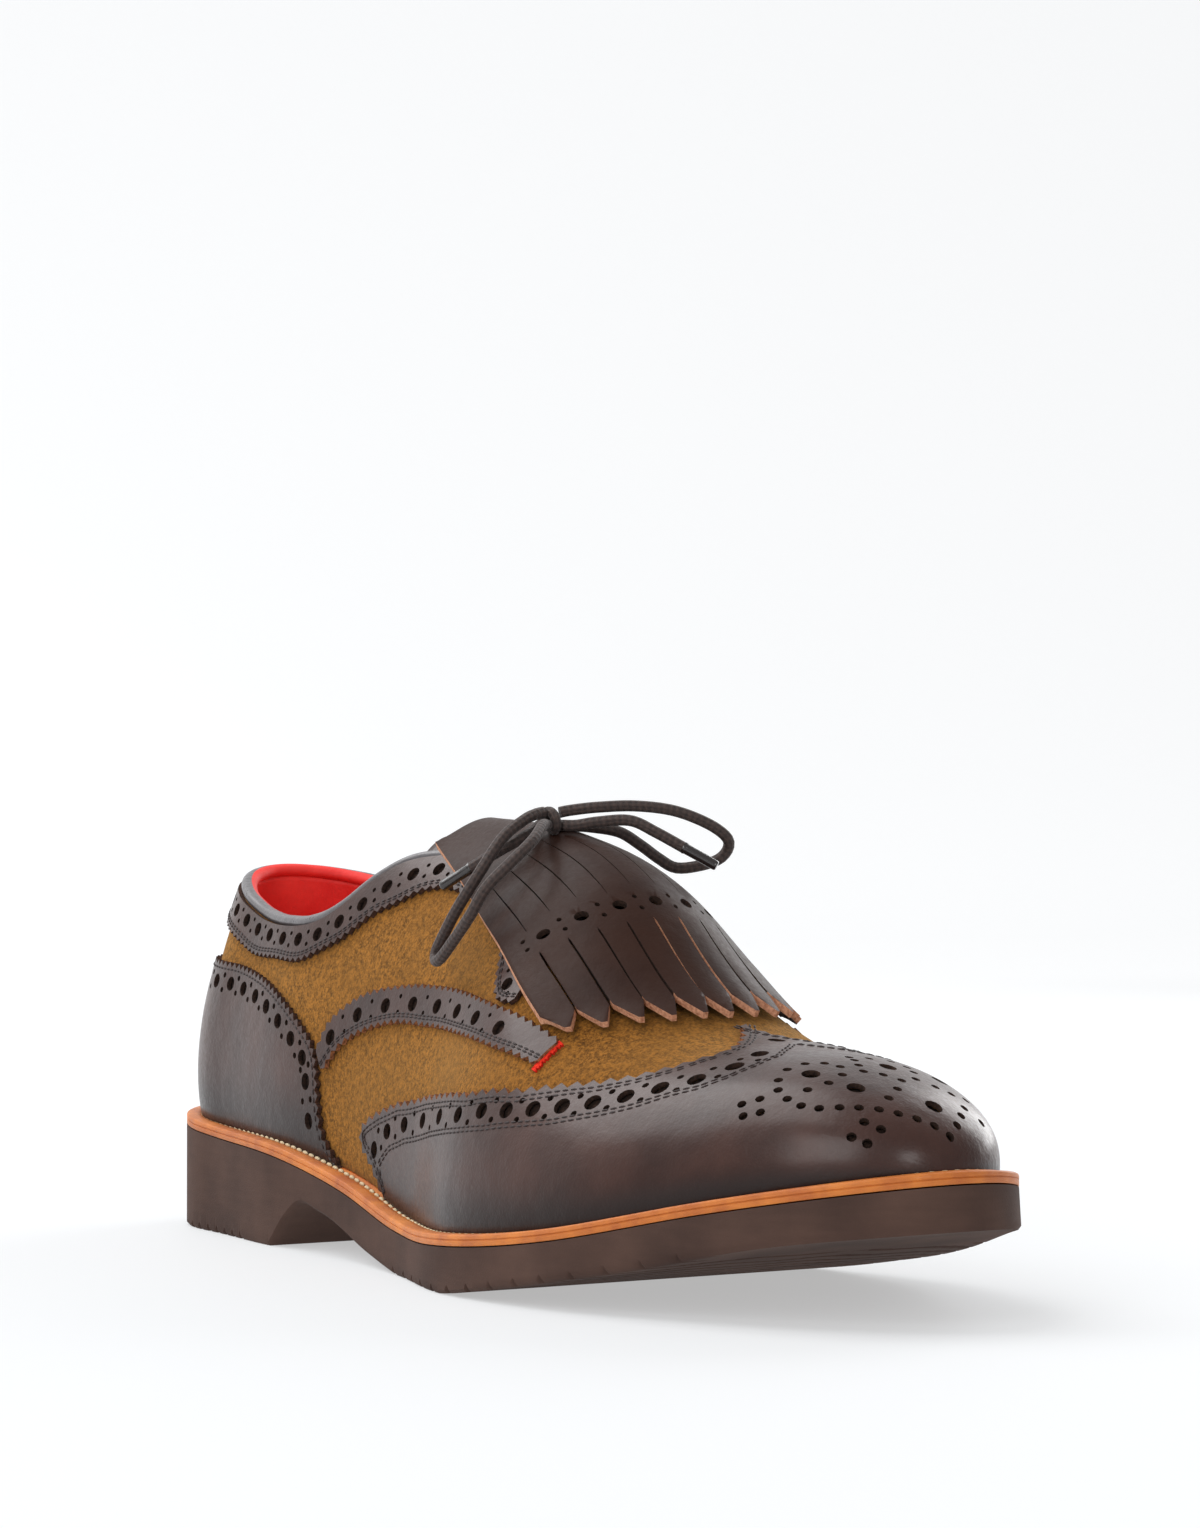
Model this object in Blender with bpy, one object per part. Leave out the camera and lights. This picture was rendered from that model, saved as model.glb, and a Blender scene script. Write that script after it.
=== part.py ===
# Fringed brogue, right shoe, standing empty on its sole. Metres, +Z up, toe to -Y, heel to +Y.
# The upper is a hollow skin on a last; every overlay is cut from the same last surface.
import math
import bpy
import bmesh
from mathutils import Vector

for thing in list(bpy.data.objects):
    bpy.data.objects.remove(thing, do_unlink=True)

MM = 0.001

# main sizes
LENGTH = 305 * MM            # outsole, heel back to toe
BALL_WIDTH = 106 * MM        # outsole across the ball
SOLE_HEIGHT = 30 * MM        # ground to the top of the tan layer at the heel
INSTEP_HEIGHT = 100 * MM     # ground to the ridge of the instep
BACK_RISE = 90 * MM          # height over which the back curve is drawn

# thicknesses
MIDSOLE = 2.6 * MM
INSOLE = 3.0 * MM
WALL = 2.0 * MM              # upper leather and lining together
OVERLAY = 1.2 * MM
KILTIE = 1.6 * MM
TONGUE = 2.0 * MM
GAP = 0.3 * MM               # air between pieces that meet
LACE = 2.7 * MM
BAR_HEIGHT = 2.2 * MM
BINDING = 3.4 * MM           # rolled collar edge: height, and its width across the rim
BINDING_WIDTH = 4.4 * MM
BINDING_END = 0.405
FOOT_LIFT = 0.5 * MM         # overlays stand a little clear of the sole
SOLE_CHAMFER = 0.8 * MM
FACET_CLEAR = 1.8 * GAP      # lift of the wide cap, whose facets are longer than the vamp's

# plan rounding of the sole
HEEL_ROUND = 35 * MM
HEEL_POWER = 2.25
TOE_ROUND = 74 * MM
TOE_POWER = 2.0
TOE_SWING = 6 * MM           # the toe turns to the inner side
TOE_LEAN = 0.13              # slope of the toe's side wall
# welt left uncovered, and the rounding of the toe cap
MARGIN_HEEL = 5.0 * MM
MARGIN_FRONT = 6.0 * MM
CAP_ROUND = 40 * MM
CAP_POWER = 2.5


def curves(columns, rows):
    # one smooth function of the first column for each of the others
    names = columns.split()
    xs = [row[0] for row in rows]
    made = {}
    for column, name in enumerate(names[1:], 1):
        ys = [row[column] for row in rows]
        steps = [(ys[i + 1] - ys[i]) / (xs[i + 1] - xs[i]) for i in range(len(xs) - 1)]
        slopes = [steps[0]]
        for i in range(1, len(xs) - 1):
            before, after = xs[i] - xs[i - 1], xs[i + 1] - xs[i]
            slopes.append((steps[i - 1] * after + steps[i] * before) / (before + after))
        slopes.append(steps[-1])
        made[name] = (xs, ys, slopes)
    return made


def read(table, name, at):
    xs, ys, slopes = table[name]
    at = min(max(at, xs[0]), xs[-1])
    i = 0
    while i < len(xs) - 2 and at > xs[i + 1]:
        i += 1
    h = xs[i + 1] - xs[i]
    u = (at - xs[i]) / h
    a = (2 * u ** 3 - 3 * u * u + 1) * ys[i] + (3 * u * u - 2 * u ** 3) * ys[i + 1]
    return a + h * ((u ** 3 - 2 * u * u + u) * slopes[i] + (u ** 3 - u * u) * slopes[i + 1])


# half widths of the sole from its middle line, shares of BALL_WIDTH; along is a share of LENGTH
OUTLINE = curves("along lateral medial", [
    (0.000, 0.326, 0.340),
    (0.125, 0.326, 0.340),
    (0.246, 0.357, 0.321),
    (0.367, 0.360, 0.292),
    (0.492, 0.407, 0.349),
    (0.623, 0.502, 0.458),
    (0.738, 0.485, 0.495),
    (0.836, 0.425, 0.439),
    (1.000, 0.396, 0.406)])
# height of the tan layer's top, share of SOLE_HEIGHT
SOLE_TOP = curves("along height", [
    (0.000, 1.007), (0.131, 0.900), (0.262, 0.827), (0.377, 0.637), (0.492, 0.430),
    (0.623, 0.447), (0.754, 0.593), (0.869, 0.840), (1.000, 1.100)])
# height of the underside: heel, breast, arch, flat tread, toe spring
SOLE_BOTTOM = curves("along height", [
    (0.000, 0.000), (0.252, 0.000), (0.277, 0.230), (0.303, 0.385), (0.335, 0.345), (0.426, 0.110),
    (0.495, 0.000), (0.616, 0.000), (0.720, 0.150), (0.820, 0.335), (0.918, 0.560), (1.000, 0.690)])
# ridge line of the last from the collar to the toe, share of INSTEP_HEIGHT
RIDGE = curves("along height", [
    (0.02, 1.160), (0.12, 1.170), (0.22, 1.140), (0.32, 1.075), (0.40, 1.015), (0.46, 0.985),
    (0.52, 0.957), (0.58, 0.897), (0.64, 0.788), (0.70, 0.655), (0.76, 0.570), (0.82, 0.545),
    (0.88, 0.525), (0.94, 0.500), (1.00, 0.480)])
# cross sections: swell past the edge on each side, height of the swell, width of the crown
SECTION = curves("along lateral medial rise crown drop", [
    (0.00, 0.045, 0.040, 0.34, 0.44, 0.02),
    (0.13, 0.050, 0.045, 0.36, 0.50, 0.02),
    (0.25, 0.045, 0.040, 0.40, 0.57, 0.02),
    (0.36, 0.030, 0.020, 0.42, 0.62, 0.02),
    (0.48, 0.030, 0.010, 0.36, 0.51, 0.00),
    (0.60, 0.035, 0.010, 0.38, 0.52, 0.00),
    (0.70, 0.040, 0.020, 0.50, 0.59, 0.00),
    (0.80, 0.018, 0.018, 0.62, 0.64, 0.00),
    (0.90, 0.018, 0.018, 0.68, 0.62, 0.00),
    (1.00, 0.018, 0.018, 0.68, 0.62, 0.00)])
# the back line of the heel: forward shift at each height, both shares of BACK_RISE
BACK = curves("rise shift", [
    (0.00, 0.000), (0.12, -0.004), (0.26, 0.007), (0.45, 0.047), (0.65, 0.087), (0.85, 0.102),
    (1.20, 0.122)])
# edge of the collar and throat: place between ridge (0) and sole (1) on each side
OPENING = curves("along lateral medial", [
    (0.016, 0.435, 0.435), (0.056, 0.467, 0.456), (0.105, 0.507, 0.482), (0.153, 0.534, 0.506),
    (0.209, 0.541, 0.513), (0.251, 0.526, 0.502), (0.279, 0.495, 0.473), (0.302, 0.448, 0.431),
    (0.329, 0.368, 0.355), (0.363, 0.268, 0.260), (0.395, 0.208, 0.204), (0.430, 0.165, 0.162),
    (0.500, 0.120, 0.120), (0.570, 0.090, 0.090), (0.610, 0.062, 0.062), (0.630, 0.000, 0.000)])
THROAT_END = 0.630
# the perforated band: its start and its end below the edge; along the throat it drops to the strap
BAND = curves("along start width", [
    (0.016, 0.002, 0.085), (0.056, 0.002, 0.082), (0.107, 0.002, 0.078), (0.153, 0.002, 0.081),
    (0.207, 0.002, 0.074), (0.258, 0.002, 0.087), (0.288, 0.002, 0.088), (0.321, 0.002, 0.121),
    (0.349, 0.002, 0.135), (0.375, 0.002, 0.150), (0.401, 0.002, 0.130), (0.430, 0.002, 0.130),
    (0.480, 0.002, 0.170), (0.530, 0.002, 0.215), (0.558, 0.002, 0.275), (0.572, 0.002, 0.335),
    (0.583, 0.010, 0.383), (0.600, 0.040, 0.390), (0.615, 0.120, 0.400)])
BAND_FRONT = 0.615
# heel counter: place of its pinked edge, from the back seam to the front corner at the sole
COUNTER = curves("along place", [
    (0.016, 0.625), (0.045, 0.630), (0.089, 0.636), (0.138, 0.640), (0.172, 0.650), (0.205, 0.665),
    (0.236, 0.688), (0.262, 0.712), (0.287, 0.742), (0.303, 0.770), (0.316, 0.815), (0.323, 0.870),
    (0.331, 0.925), (0.349, 0.960), (0.378, 0.985)])
# strap from the counter to the front tab: upper edge and lower edge
STRAP = curves("row along_top place_top along_low place_low", [
    (0.00, 0.308, 0.757, 0.323, 0.800), (0.08, 0.317, 0.712, 0.334, 0.764),
    (0.18, 0.340, 0.658, 0.351, 0.728), (0.29, 0.371, 0.606, 0.381, 0.682),
    (0.41, 0.413, 0.557, 0.426, 0.630), (0.54, 0.460, 0.519, 0.478, 0.600),
    (0.68, 0.520, 0.499, 0.553, 0.580), (0.82, 0.585, 0.481, 0.617, 0.561),
    (0.92, 0.630, 0.457, 0.655, 0.545), (1.00, 0.680, 0.436, 0.674, 0.537)])
# wing cap: place of its pinked edge from the tail forward; past the last row it is whole
WING = curves("along place", [
    (0.388, 0.925), (0.391, 0.880), (0.401, 0.849), (0.422, 0.814), (0.458, 0.765), (0.519, 0.720),
    (0.611, 0.672), (0.673, 0.611), (0.708, 0.547), (0.739, 0.488), (0.765, 0.418), (0.786, 0.331),
    (0.797, 0.218)])
# its point on the ridge: half width from the tip of the point forward
POINT = curves("along place", [
    (0.744, 0.004), (0.758, 0.030), (0.775, 0.075), (0.788, 0.135), (0.797, 0.218)])
POINT_TIP = 0.744
# tongue: its half width, and the air between it and the wall above as a share of WALL
TONGUE_ROWS = curves("along place under", [
    (0.350, 0.194, 1.225), (0.360, 0.223, 1.225), (0.420, 0.213, 1.225), (0.460, 0.207, 0.375),
    (0.550, 0.192, 0.375), (0.650, 0.175, 0.375)])
# back strip: places across its height, and its steps round the heel to each side
STRIP_PLACES = (0.530, 0.556, 0.582, 0.612)
STRIP_STEPS = (0.0, 0.03, 0.10, 0.22, 0.40)
# kiltie: rows down its length, at the side edge, with its half width and its lift in KILTIE thicknesses
KILTIE_ROWS = curves("down along place lift", [
    (0.00, 0.413, 0.200, 2.00), (0.18, 0.462, 0.258, 3.00), (0.38, 0.520, 0.325, 3.06),
    (0.60, 0.587, 0.373, 2.88), (0.80, 0.630, 0.411, 2.13), (1.00, 0.672, 0.442, 1.88)])
STRIPS = 11
SLIT = 0.055                 # half the gap between strips, as a share of a strip
SLIT_START = 0.70
TIP_ROW = 0.93
KILTIE_DOWNS = (0.0, 0.18, 0.36, 0.54, SLIT_START, 0.78, 0.86)
MIDDLE_REACH = 0.056
# places of the lace's crossings along the throat
BARS = (0.455, 0.505, 0.555)
BAR_REACH = 0.20
# the bow: middle of the knot on the kiltie, and each cord's points in mm from there
KNOT_ALONG = 0.5246
KNOT_PLACE = -0.045
KNOT_LIFT = 10.2 * MM
KNOT_RADIUS = 2.1 * MM
KNOT_TURN = 330              # degrees of the ring that the knot makes round the loops
AGLET_LENGTH = 8 * MM
AGLET = 2.9 * MM
ROUTES = {
    "lace_near_loop": [
        (-2.2, 0.0, 2.0), (-4.6, -0.6, 1.6), (-8.4, -1.5, 0.2), (-15.2, -3.2, -4.0), (-22.0, -3.6, -12.6),
        (-24.1, 2.5, -20.6), (-24.2, 9.4, -27.6), (-24.2, 11.8, -30.6), (-25.2, 10.0, -32.4),
        (-26.3, 5.2, -31.2), (-26.5, -1.0, -27.0), (-26.8, -8.7, -21.4), (-25.3, -13.2, -15.2),
        (-20.6, -15.8, -9.6), (-14.0, -14.6, -4.6), (-8.0, -8.8, -1.4), (-4.4, -3.9, -0.8),
        (-2.2, -1.8, -1.0)],
    "lace_far_loop": [
        (2.2, 0.0, 2.0), (4.6, -1.0, 2.5), (9.9, -4.2, 3.2), (18.1, -7.9, 3.5), (26.3, -11.7, 2.4),
        (33.4, -14.9, -0.5), (37.5, -16.8, -3.6), (38.9, -15.8, -6.2), (37.4, -14.2, -8.9),
        (33.4, -11.9, -10.5), (28.4, -9.4, -11.0), (24.6, -7.8, -8.8), (20.7, -6.1, -5.7),
        (16.3, -3.6, -2.6), (10.6, 0.2, -1.4), (5.2, 1.6, -1.1), (2.2, 1.8, -1.0)],
    "lace_left_end": [
        (-2.2, 1.8, -1.0), (-4.6, 1.0, -2.4), (-8.4, -1.2, -3.8), (-12.3, 0.0, -6.0), (-15.4, 3.6, -8.6),
        (-17.6, 7.0, -10.9)],
    "lace_right_end": [
        (2.2, -1.8, -1.0), (4.6, -3.8, -1.0), (8.4, -7.4, -0.2), (14.3, -11.8, 0.1), (18.8, -15.7, -2.6),
        (23.8, -20.0, -6.2)]}


def sole_height(s):
    return read(SOLE_TOP, "height", s / LENGTH) * SOLE_HEIGHT


def underside(s):
    return max(0.0, read(SOLE_BOTTOM, "height", s / LENGTH)) * SOLE_HEIGHT


def half_width(s, side, inset=0.0):
    w = read(OUTLINE, "lateral" if side < 0 else "medial", s / LENGTH) * BALL_WIDTH - inset
    a = min(max((HEEL_ROUND - s) / (HEEL_ROUND - inset), 0), 1)
    b = min(max((s - LENGTH + TOE_ROUND) / (TOE_ROUND - inset), 0), 1)
    w *= (1 - a ** HEEL_POWER) ** (1 / HEEL_POWER)
    return w * (1 - b ** TOE_POWER) ** (1 / TOE_POWER)


def edge(s, side, inset=0.0):
    swing = TOE_SWING * max(0, (s / LENGTH - 0.59) / 0.41) ** 2
    return side * half_width(s, side, inset) + swing


def margin(s):
    return MARGIN_HEEL + (MARGIN_FRONT - MARGIN_HEEL) * min(max((s / LENGTH - 0.1) / 0.3, 0), 1)


FIRST = MARGIN_HEEL
LAST = LENGTH - MARGIN_FRONT
SAMPLES = [LENGTH * k / 600 for k in range(601)]
MIDDLE_X = (max(edge(s, 1) for s in SAMPLES) + min(edge(s, -1) for s in SAMPLES)) / 2
REACH = TOE_LEAN * (sole_height(LENGTH) - MIDSOLE - GAP - underside(LENGTH))
MIDDLE_Y = (LENGTH + REACH) / 2


def place(s, x, z):
    return Vector((x - MIDDLE_X, MIDDLE_Y - s, z))


def skin(s, side, t):
    # a point of the last: t is 1 at the sole's edge and 0 on the ridge
    if s < FIRST:
        s, side = 2 * FIRST - s, -side
    if s > LAST:
        s, side = 2 * LAST - s, -side
    share = s / LENGTH
    low = sole_height(s) + GAP
    x0 = edge(s, side, margin(s))
    b = min(max((s - LAST + CAP_ROUND) / CAP_ROUND, 0), 1)
    top = read(RIDGE, "height", share) * INSTEP_HEIGHT
    high = low + (top - low) * (1 - b ** CAP_POWER) ** (1 / CAP_POWER)
    xr = (edge(s, 1, margin(s)) + edge(s, -1, margin(s))) / 2
    swell = read(SECTION, "lateral" if side < 0 else "medial", share) * BALL_WIDTH
    swell *= min(1, abs(x0 - xr) / (0.2 * BALL_WIDTH))
    rise = read(SECTION, "rise", share)
    x1, z1 = x0 + side * swell, low + rise * (high - low)
    x2 = xr + (x0 - xr) * read(SECTION, "crown", share)
    z2 = high - read(SECTION, "drop", share) * (high - low)
    k, u = 1 - t, t
    weights = (u ** 3, 3 * u * u * k, 3 * u * k * k, k ** 3)
    x = sum(w * v for w, v in zip(weights, (x0, x1, x2, xr)))
    z = sum(w * v for w, v in zip(weights, (low, z1, z2, high)))
    fade = max(0, 1 - (s - FIRST) / (0.33 * LENGTH)) ** 2
    back = read(BACK, "shift", max(0, (z - low) / BACK_RISE)) * BACK_RISE * fade
    return Vector((s + back, x, z))


def signed(s, t):
    return skin(s, -1 if t < 0 else 1, abs(t))


def outward(s, t):
    # the last's normal; t is signed, lateral below zero
    s = min(max(s, FIRST), LAST - 0.05 * MM)
    d = 0.4 * MM
    along = signed(s + d, t) - signed(s - d, t)
    if s - d < FIRST:
        along = signed(s + d, t) - skin(s - d, -1 if t < 0 else 1, abs(t))
    lo, hi = max(t - 0.02, -1), min(t + 0.02, 1)
    across = signed(s, hi) - signed(s, lo)
    n = along.cross(across)
    return n.normalized()


def on_last(share, t, lift=0.0):
    s = min(max(share * LENGTH, FIRST), LAST)
    p = signed(s, t)
    if lift:
        clear = p.z - sole_height(s) - GAP
        p = p + outward(s, t) * lift
        if lift > 0:
            p.z += FOOT_LIFT * max(0, 1 - clear / (4 * MM))
    return place(p.x, p.y, p.z)


def material(name, colour, roughness, metallic=0.0):
    made = bpy.data.materials.new(name)
    made.use_nodes = True
    shader = made.node_tree.nodes["Principled BSDF"]
    shader.inputs["Base Color"].default_value = (*colour, 1)
    shader.inputs["Roughness"].default_value = roughness
    shader.inputs["Metallic"].default_value = metallic
    return made


SUEDE = material("tan_suede", (0.30, 0.16, 0.045), 0.95)
CALF = material("dark_brown_calf", (0.06, 0.035, 0.028), 0.38)
BINDING_LEATHER = material("grey_brown_binding", (0.11, 0.10, 0.10), 0.35)
TAN_LEATHER = material("tan_sole_leather", (0.62, 0.29, 0.10), 0.6)
FOAM_RUBBER = material("dark_brown_foam_rubber", (0.055, 0.037, 0.03), 0.85)
INSOLE_LEATHER = material("red_insole_leather", (0.35, 0.02, 0.02), 0.6)
LACE_COTTON = material("dark_brown_waxed_lace", (0.045, 0.03, 0.025), 0.7)


def finish(name, bm, skin_material, thickness=None, direction=-1.0):
    mesh = bpy.data.meshes.new(name)
    bm.to_mesh(mesh)
    bm.free()
    mesh.materials.append(skin_material)
    made = bpy.data.objects.new(name, mesh)
    bpy.context.scene.collection.objects.link(made)
    mesh.shade_smooth()
    mesh.set_sharp_from_angle(angle=math.radians(40))
    if thickness:
        solid = made.modifiers.new("thickness", "SOLIDIFY")
        solid.thickness = thickness
        solid.offset = direction
        solid.use_even_offset = False
        solid.use_quality_normals = True
    return made


def sheet(rows, holes=()):
    # a skin through rows of points, without the cells named in holes
    bm = bmesh.new()
    grid = [[bm.verts.new(p) for p in row] for row in rows]
    for i in range(len(grid) - 1):
        for j in range(len(grid[i]) - 1):
            if (i, j) not in holes:
                bm.faces.new((grid[i][j], grid[i][j + 1], grid[i + 1][j + 1], grid[i + 1][j]))
    loose = [v for v in bm.verts if not v.link_faces]
    bmesh.ops.delete(bm, geom=loose, context="VERTS")
    bmesh.ops.remove_doubles(bm, verts=bm.verts, dist=0.04 * MM)
    bmesh.ops.dissolve_degenerate(bm, edges=bm.edges, dist=0.02 * MM)
    bmesh.ops.recalc_face_normals(bm, faces=bm.faces)
    outside = sum((f.normal.dot(f.calc_center_median() - Vector((0, f.calc_center_median().y, 0.045)))
                   * f.calc_area()) for f in bm.faces)
    if outside < 0:
        bmesh.ops.reverse_faces(bm, faces=bm.faces)
    return bm


def loft(rings):
    # closed rings joined one to the next, with a cap at each end
    bm = bmesh.new()
    loops = [[bm.verts.new(p) for p in ring] for ring in rings]
    for a, b in zip(loops, loops[1:]):
        for k in range(len(a)):
            n = (k + 1) % len(a)
            bm.faces.new((a[k], a[n], b[n], b[k]))
    bm.faces.new(loops[0])
    bm.faces.new(list(reversed(loops[-1])))
    bmesh.ops.recalc_face_normals(bm, faces=bm.faces)
    return bm


def stations(first, last, count, extra=()):
    # closer together at both ends, where the plan turns round
    rows = [first + (last - first) * (0.5 - 0.5 * math.cos(math.pi * k / (count - 1)))
            for k in range(count)]
    rows += [s for s in extra if first < s < last]
    rows.sort()
    kept = [rows[0]]
    for s in rows[1:-1]:
        close = 0.8 * MM if rows[0] + 4 * MM < s < rows[-1] - 4 * MM else 0.01 * MM
        if s - kept[-1] > close:
            kept.append(s)
    return kept + [rows[-1]]


# outsole: one foam rubber block with heel, arch, flat tread and toe spring
def make_outsole():
    turns = SOLE_BOTTOM["height"][0]
    corners = [a * LENGTH for a in turns] + [(a + b) / 2 * LENGTH for a, b in zip(turns[1:4], turns[2:5])]
    rings = []
    for s in stations(0.03 * MM, LENGTH - 0.03 * MM, 40, corners):
        top = sole_height(s) - MIDSOLE - GAP
        low = underside(s)
        lean = TOE_LEAN * max(0, (s / LENGTH - 0.72) / 0.28) ** 2
        ring = []
        for side in (-1, 1):
            inset = min(SOLE_CHAMFER, half_width(s, side) * 0.3)
            x = edge(s, side)
            x_in = x - side * inset
            part = [place(s, x, top),
                    place(s + lean * (top - low - SOLE_CHAMFER), x, low + SOLE_CHAMFER),
                    place(s + lean * (top - low), x_in, low)]
            ring += part if side > 0 else list(reversed(part))
        rings.append(ring)
    return finish("outsole", loft(rings), FOAM_RUBBER)


# midsole and insole: flat plates that follow the sole's top
def make_plate(name, inset, bottom, top, skin_material, first, last, count):
    rings = []
    for s in stations(first, last, count):
        low, high = sole_height(s) + bottom, sole_height(s) + top
        rings.append([place(s, edge(s, -1, inset), low), place(s, edge(s, -1, inset), high),
                      place(s, edge(s, 1, inset), high), place(s, edge(s, 1, inset), low)])
    return finish(name, loft(rings), skin_material)


def make_insole():
    inset = MARGIN_FRONT + WALL + 2 * GAP
    return make_plate("insole", inset, GAP, GAP + INSOLE, INSOLE_LEATHER,
                      inset + 0.1 * MM, LENGTH - inset - 0.1 * MM, 26)


# upper: quarters and vamp as one hollow skin, open at collar, throat and sole
def make_upper():
    columns = 11
    rows = []
    holes = []
    for i, s in enumerate(UPPER_ROWS):
        share = s / LENGTH
        lateral, medial = read(OPENING, "lateral", share), read(OPENING, "medial", share)
        if share >= THROAT_END - 0.0005:
            lateral = medial = 0.0
        row = [on_last(share, -1 + (1 - lateral) * j / columns) for j in range(columns + 1)]
        row += [on_last(share, 1 - (1 - medial) * j / columns) for j in range(columns, -1, -1)]
        rows.append(row)
        if share < THROAT_END - 0.0005:
            holes.append((i, columns))
    return finish("upper", sheet(rows, holes), SUEDE, WALL, -1.0)


UPPER_ROWS = stations(FIRST, LAST, 36, [share * LENGTH for share in (0.60, THROAT_END, 0.744, 0.797)])


def rows_between(first, last, extra=()):
    # the upper's own rows, so that every overlay lies parallel to its facets
    rows = [s for s in UPPER_ROWS if first * LENGTH + 0.3 * MM < s < last * LENGTH - 0.3 * MM]
    extra = [share * LENGTH for share in extra]
    rows = [s for s in rows if all(abs(s - e) > 0.6 * MM for e in extra)]
    rows += extra + [first * LENGTH, last * LENGTH]
    return [s / LENGTH for s in sorted(rows)]


def strip(shares, near, far, columns, lift):
    # a patch of the last between two places, each a function of the share along the shoe
    grid = []
    for share in shares:
        a, b = near(share), far(share)
        grid.append([on_last(share, a + (b - a) * c / columns, lift) for c in range(columns + 1)])
    return grid


def both_sides(grid_of):
    # lateral and medial halves meet at the back seam
    return list(reversed(grid_of(-1))) + grid_of(1)[1:]


def spread(count):
    return [k / (count - 1) for k in range(count)]


def make_counter():
    shares = rows_between(FIRST / LENGTH, 0.378, (0.303, 0.316, 0.323, 0.331, 0.349, 0.364))

    def half(side):
        return strip(shares, lambda s: side * read(COUNTER, "place", s), lambda s: side, 6, GAP)
    return finish("heel_counter", sheet(both_sides(half)), CALF, OVERLAY, 1.0)


def join(parts):
    # patches that share an edge, made one skin
    whole = bmesh.new()
    for part in parts:
        mesh = bpy.data.meshes.new("patch")
        part.to_mesh(mesh)
        part.free()
        whole.from_mesh(mesh)
        bpy.data.meshes.remove(mesh)
    bmesh.ops.remove_doubles(whole, verts=whole.verts, dist=0.04 * MM)
    bmesh.ops.recalc_face_normals(whole, faces=whole.faces)
    return whole


def make_wing():
    side_rows = rows_between(0.388, LAST / LENGTH, (0.391, 0.396, 0.403))
    point_rows = rows_between(POINT_TIP, LAST / LENGTH)
    parts = []
    for side in (-1, 1):
        parts.append(sheet(strip(side_rows, lambda s: side * read(WING, "place", s),
                                 lambda s: side, 7, FACET_CLEAR)))
    parts.append(sheet(strip(point_rows, lambda s: -read(POINT, "place", s),
                             lambda s: read(POINT, "place", s), 8, FACET_CLEAR)))
    return finish("wing_cap", join(parts), CALF, OVERLAY, 1.0)


def make_strap(name, side):
    rows = []
    for row in spread(20):
        a = (read(STRAP, "along_top", row), side * read(STRAP, "place_top", row))
        b = (read(STRAP, "along_low", row), side * read(STRAP, "place_low", row))
        rows.append([on_last(a[0] + (b[0] - a[0]) * c / 3, a[1] + (b[1] - a[1]) * c / 3, GAP)
                     for c in range(4)])
    return finish(name, sheet(rows), CALF, OVERLAY, 1.0)


def make_band():
    shares = rows_between(FIRST / LENGTH, BAND_FRONT, (0.558, 0.572, 0.583, 0.600))

    def half(side):
        name = "lateral" if side < 0 else "medial"
        return strip(shares, lambda s: side * (read(OPENING, name, s) + read(BAND, "start", s)),
                     lambda s: side * (read(OPENING, name, s) + read(BAND, "width", s)), 4, GAP)
    return finish("collar_band", sheet(both_sides(half)), CALF, OVERLAY, 1.0)


def make_back_strip():
    # a narrow strip over the back seam, between the collar band and the counter
    rows = []
    for side, order in ((-1, tuple(reversed(STRIP_STEPS))), (1, STRIP_STEPS[1:])):
        for step in order:
            share = (FIRST + step * MM) / LENGTH
            rows.append([on_last(share, side * t, GAP) for t in STRIP_PLACES])
    return finish("back_strip", sheet(rows), CALF, OVERLAY, 1.0)


def tube(name, path, wide, tall, sides, skin_material, up=None):
    # a round or oval cord of any path, with flat ends
    rings = []
    for i, p in enumerate(path):
        ahead = path[min(i + 1, len(path) - 1)] - path[max(i - 1, 0)]
        ahead.normalize()
        rise = up[i] if up else Vector((0, 0, 1))
        across = ahead.cross(rise).normalized()
        rise = across.cross(ahead).normalized()
        rings.append([p + across * (wide / 2 * math.cos(2 * math.pi * k / sides))
                      + rise * (tall / 2 * math.sin(2 * math.pi * k / sides)) for k in range(sides)])
    return finish(name, loft(rings), skin_material)


def make_binding():
    # the rolled edge of the collar, standing on the rim of the upper
    path, ups = [], []
    stops = rows_between(FIRST / LENGTH, BINDING_END)
    for side, name, order in ((-1, "lateral", reversed(stops)), (1, "medial", stops[1:])):
        for share in order:
            t = read(OPENING, name, share)
            rim = on_last(share, side * t, -WALL / 2)
            inner = on_last(share, side * (t - 0.02), -WALL / 2)
            step = (inner - rim).normalized()
            path.append(rim + step * (BINDING / 2 + 1.5 * GAP))
            ups.append(step)
    return tube("collar_binding", path, BINDING_WIDTH, BINDING, 8, BINDING_LEATHER, ups)


def make_tongue():
    ends = TONGUE_ROWS["place"][0]
    rows = []
    for share in rows_between(ends[0], ends[-1], (ends[1],)):
        half = read(TONGUE_ROWS, "place", share)
        under = -WALL * (1 + read(TONGUE_ROWS, "under", share))
        rows.append([on_last(share, half * c / 4, under) for c in range(-4, 5)])
    return finish("tongue", sheet(rows), SUEDE, TONGUE, -1.0)


def kiltie_point(across, down):
    # across runs from -1 at the lateral edge to 1, down from 0 at the top to 1 at the tips
    share = read(KILTIE_ROWS, "along", down) + MIDDLE_REACH * (1 - across * across) * down ** 1.5
    half = read(KILTIE_ROWS, "place", down)
    return on_last(share, across * half, read(KILTIE_ROWS, "lift", down) * KILTIE)


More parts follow.
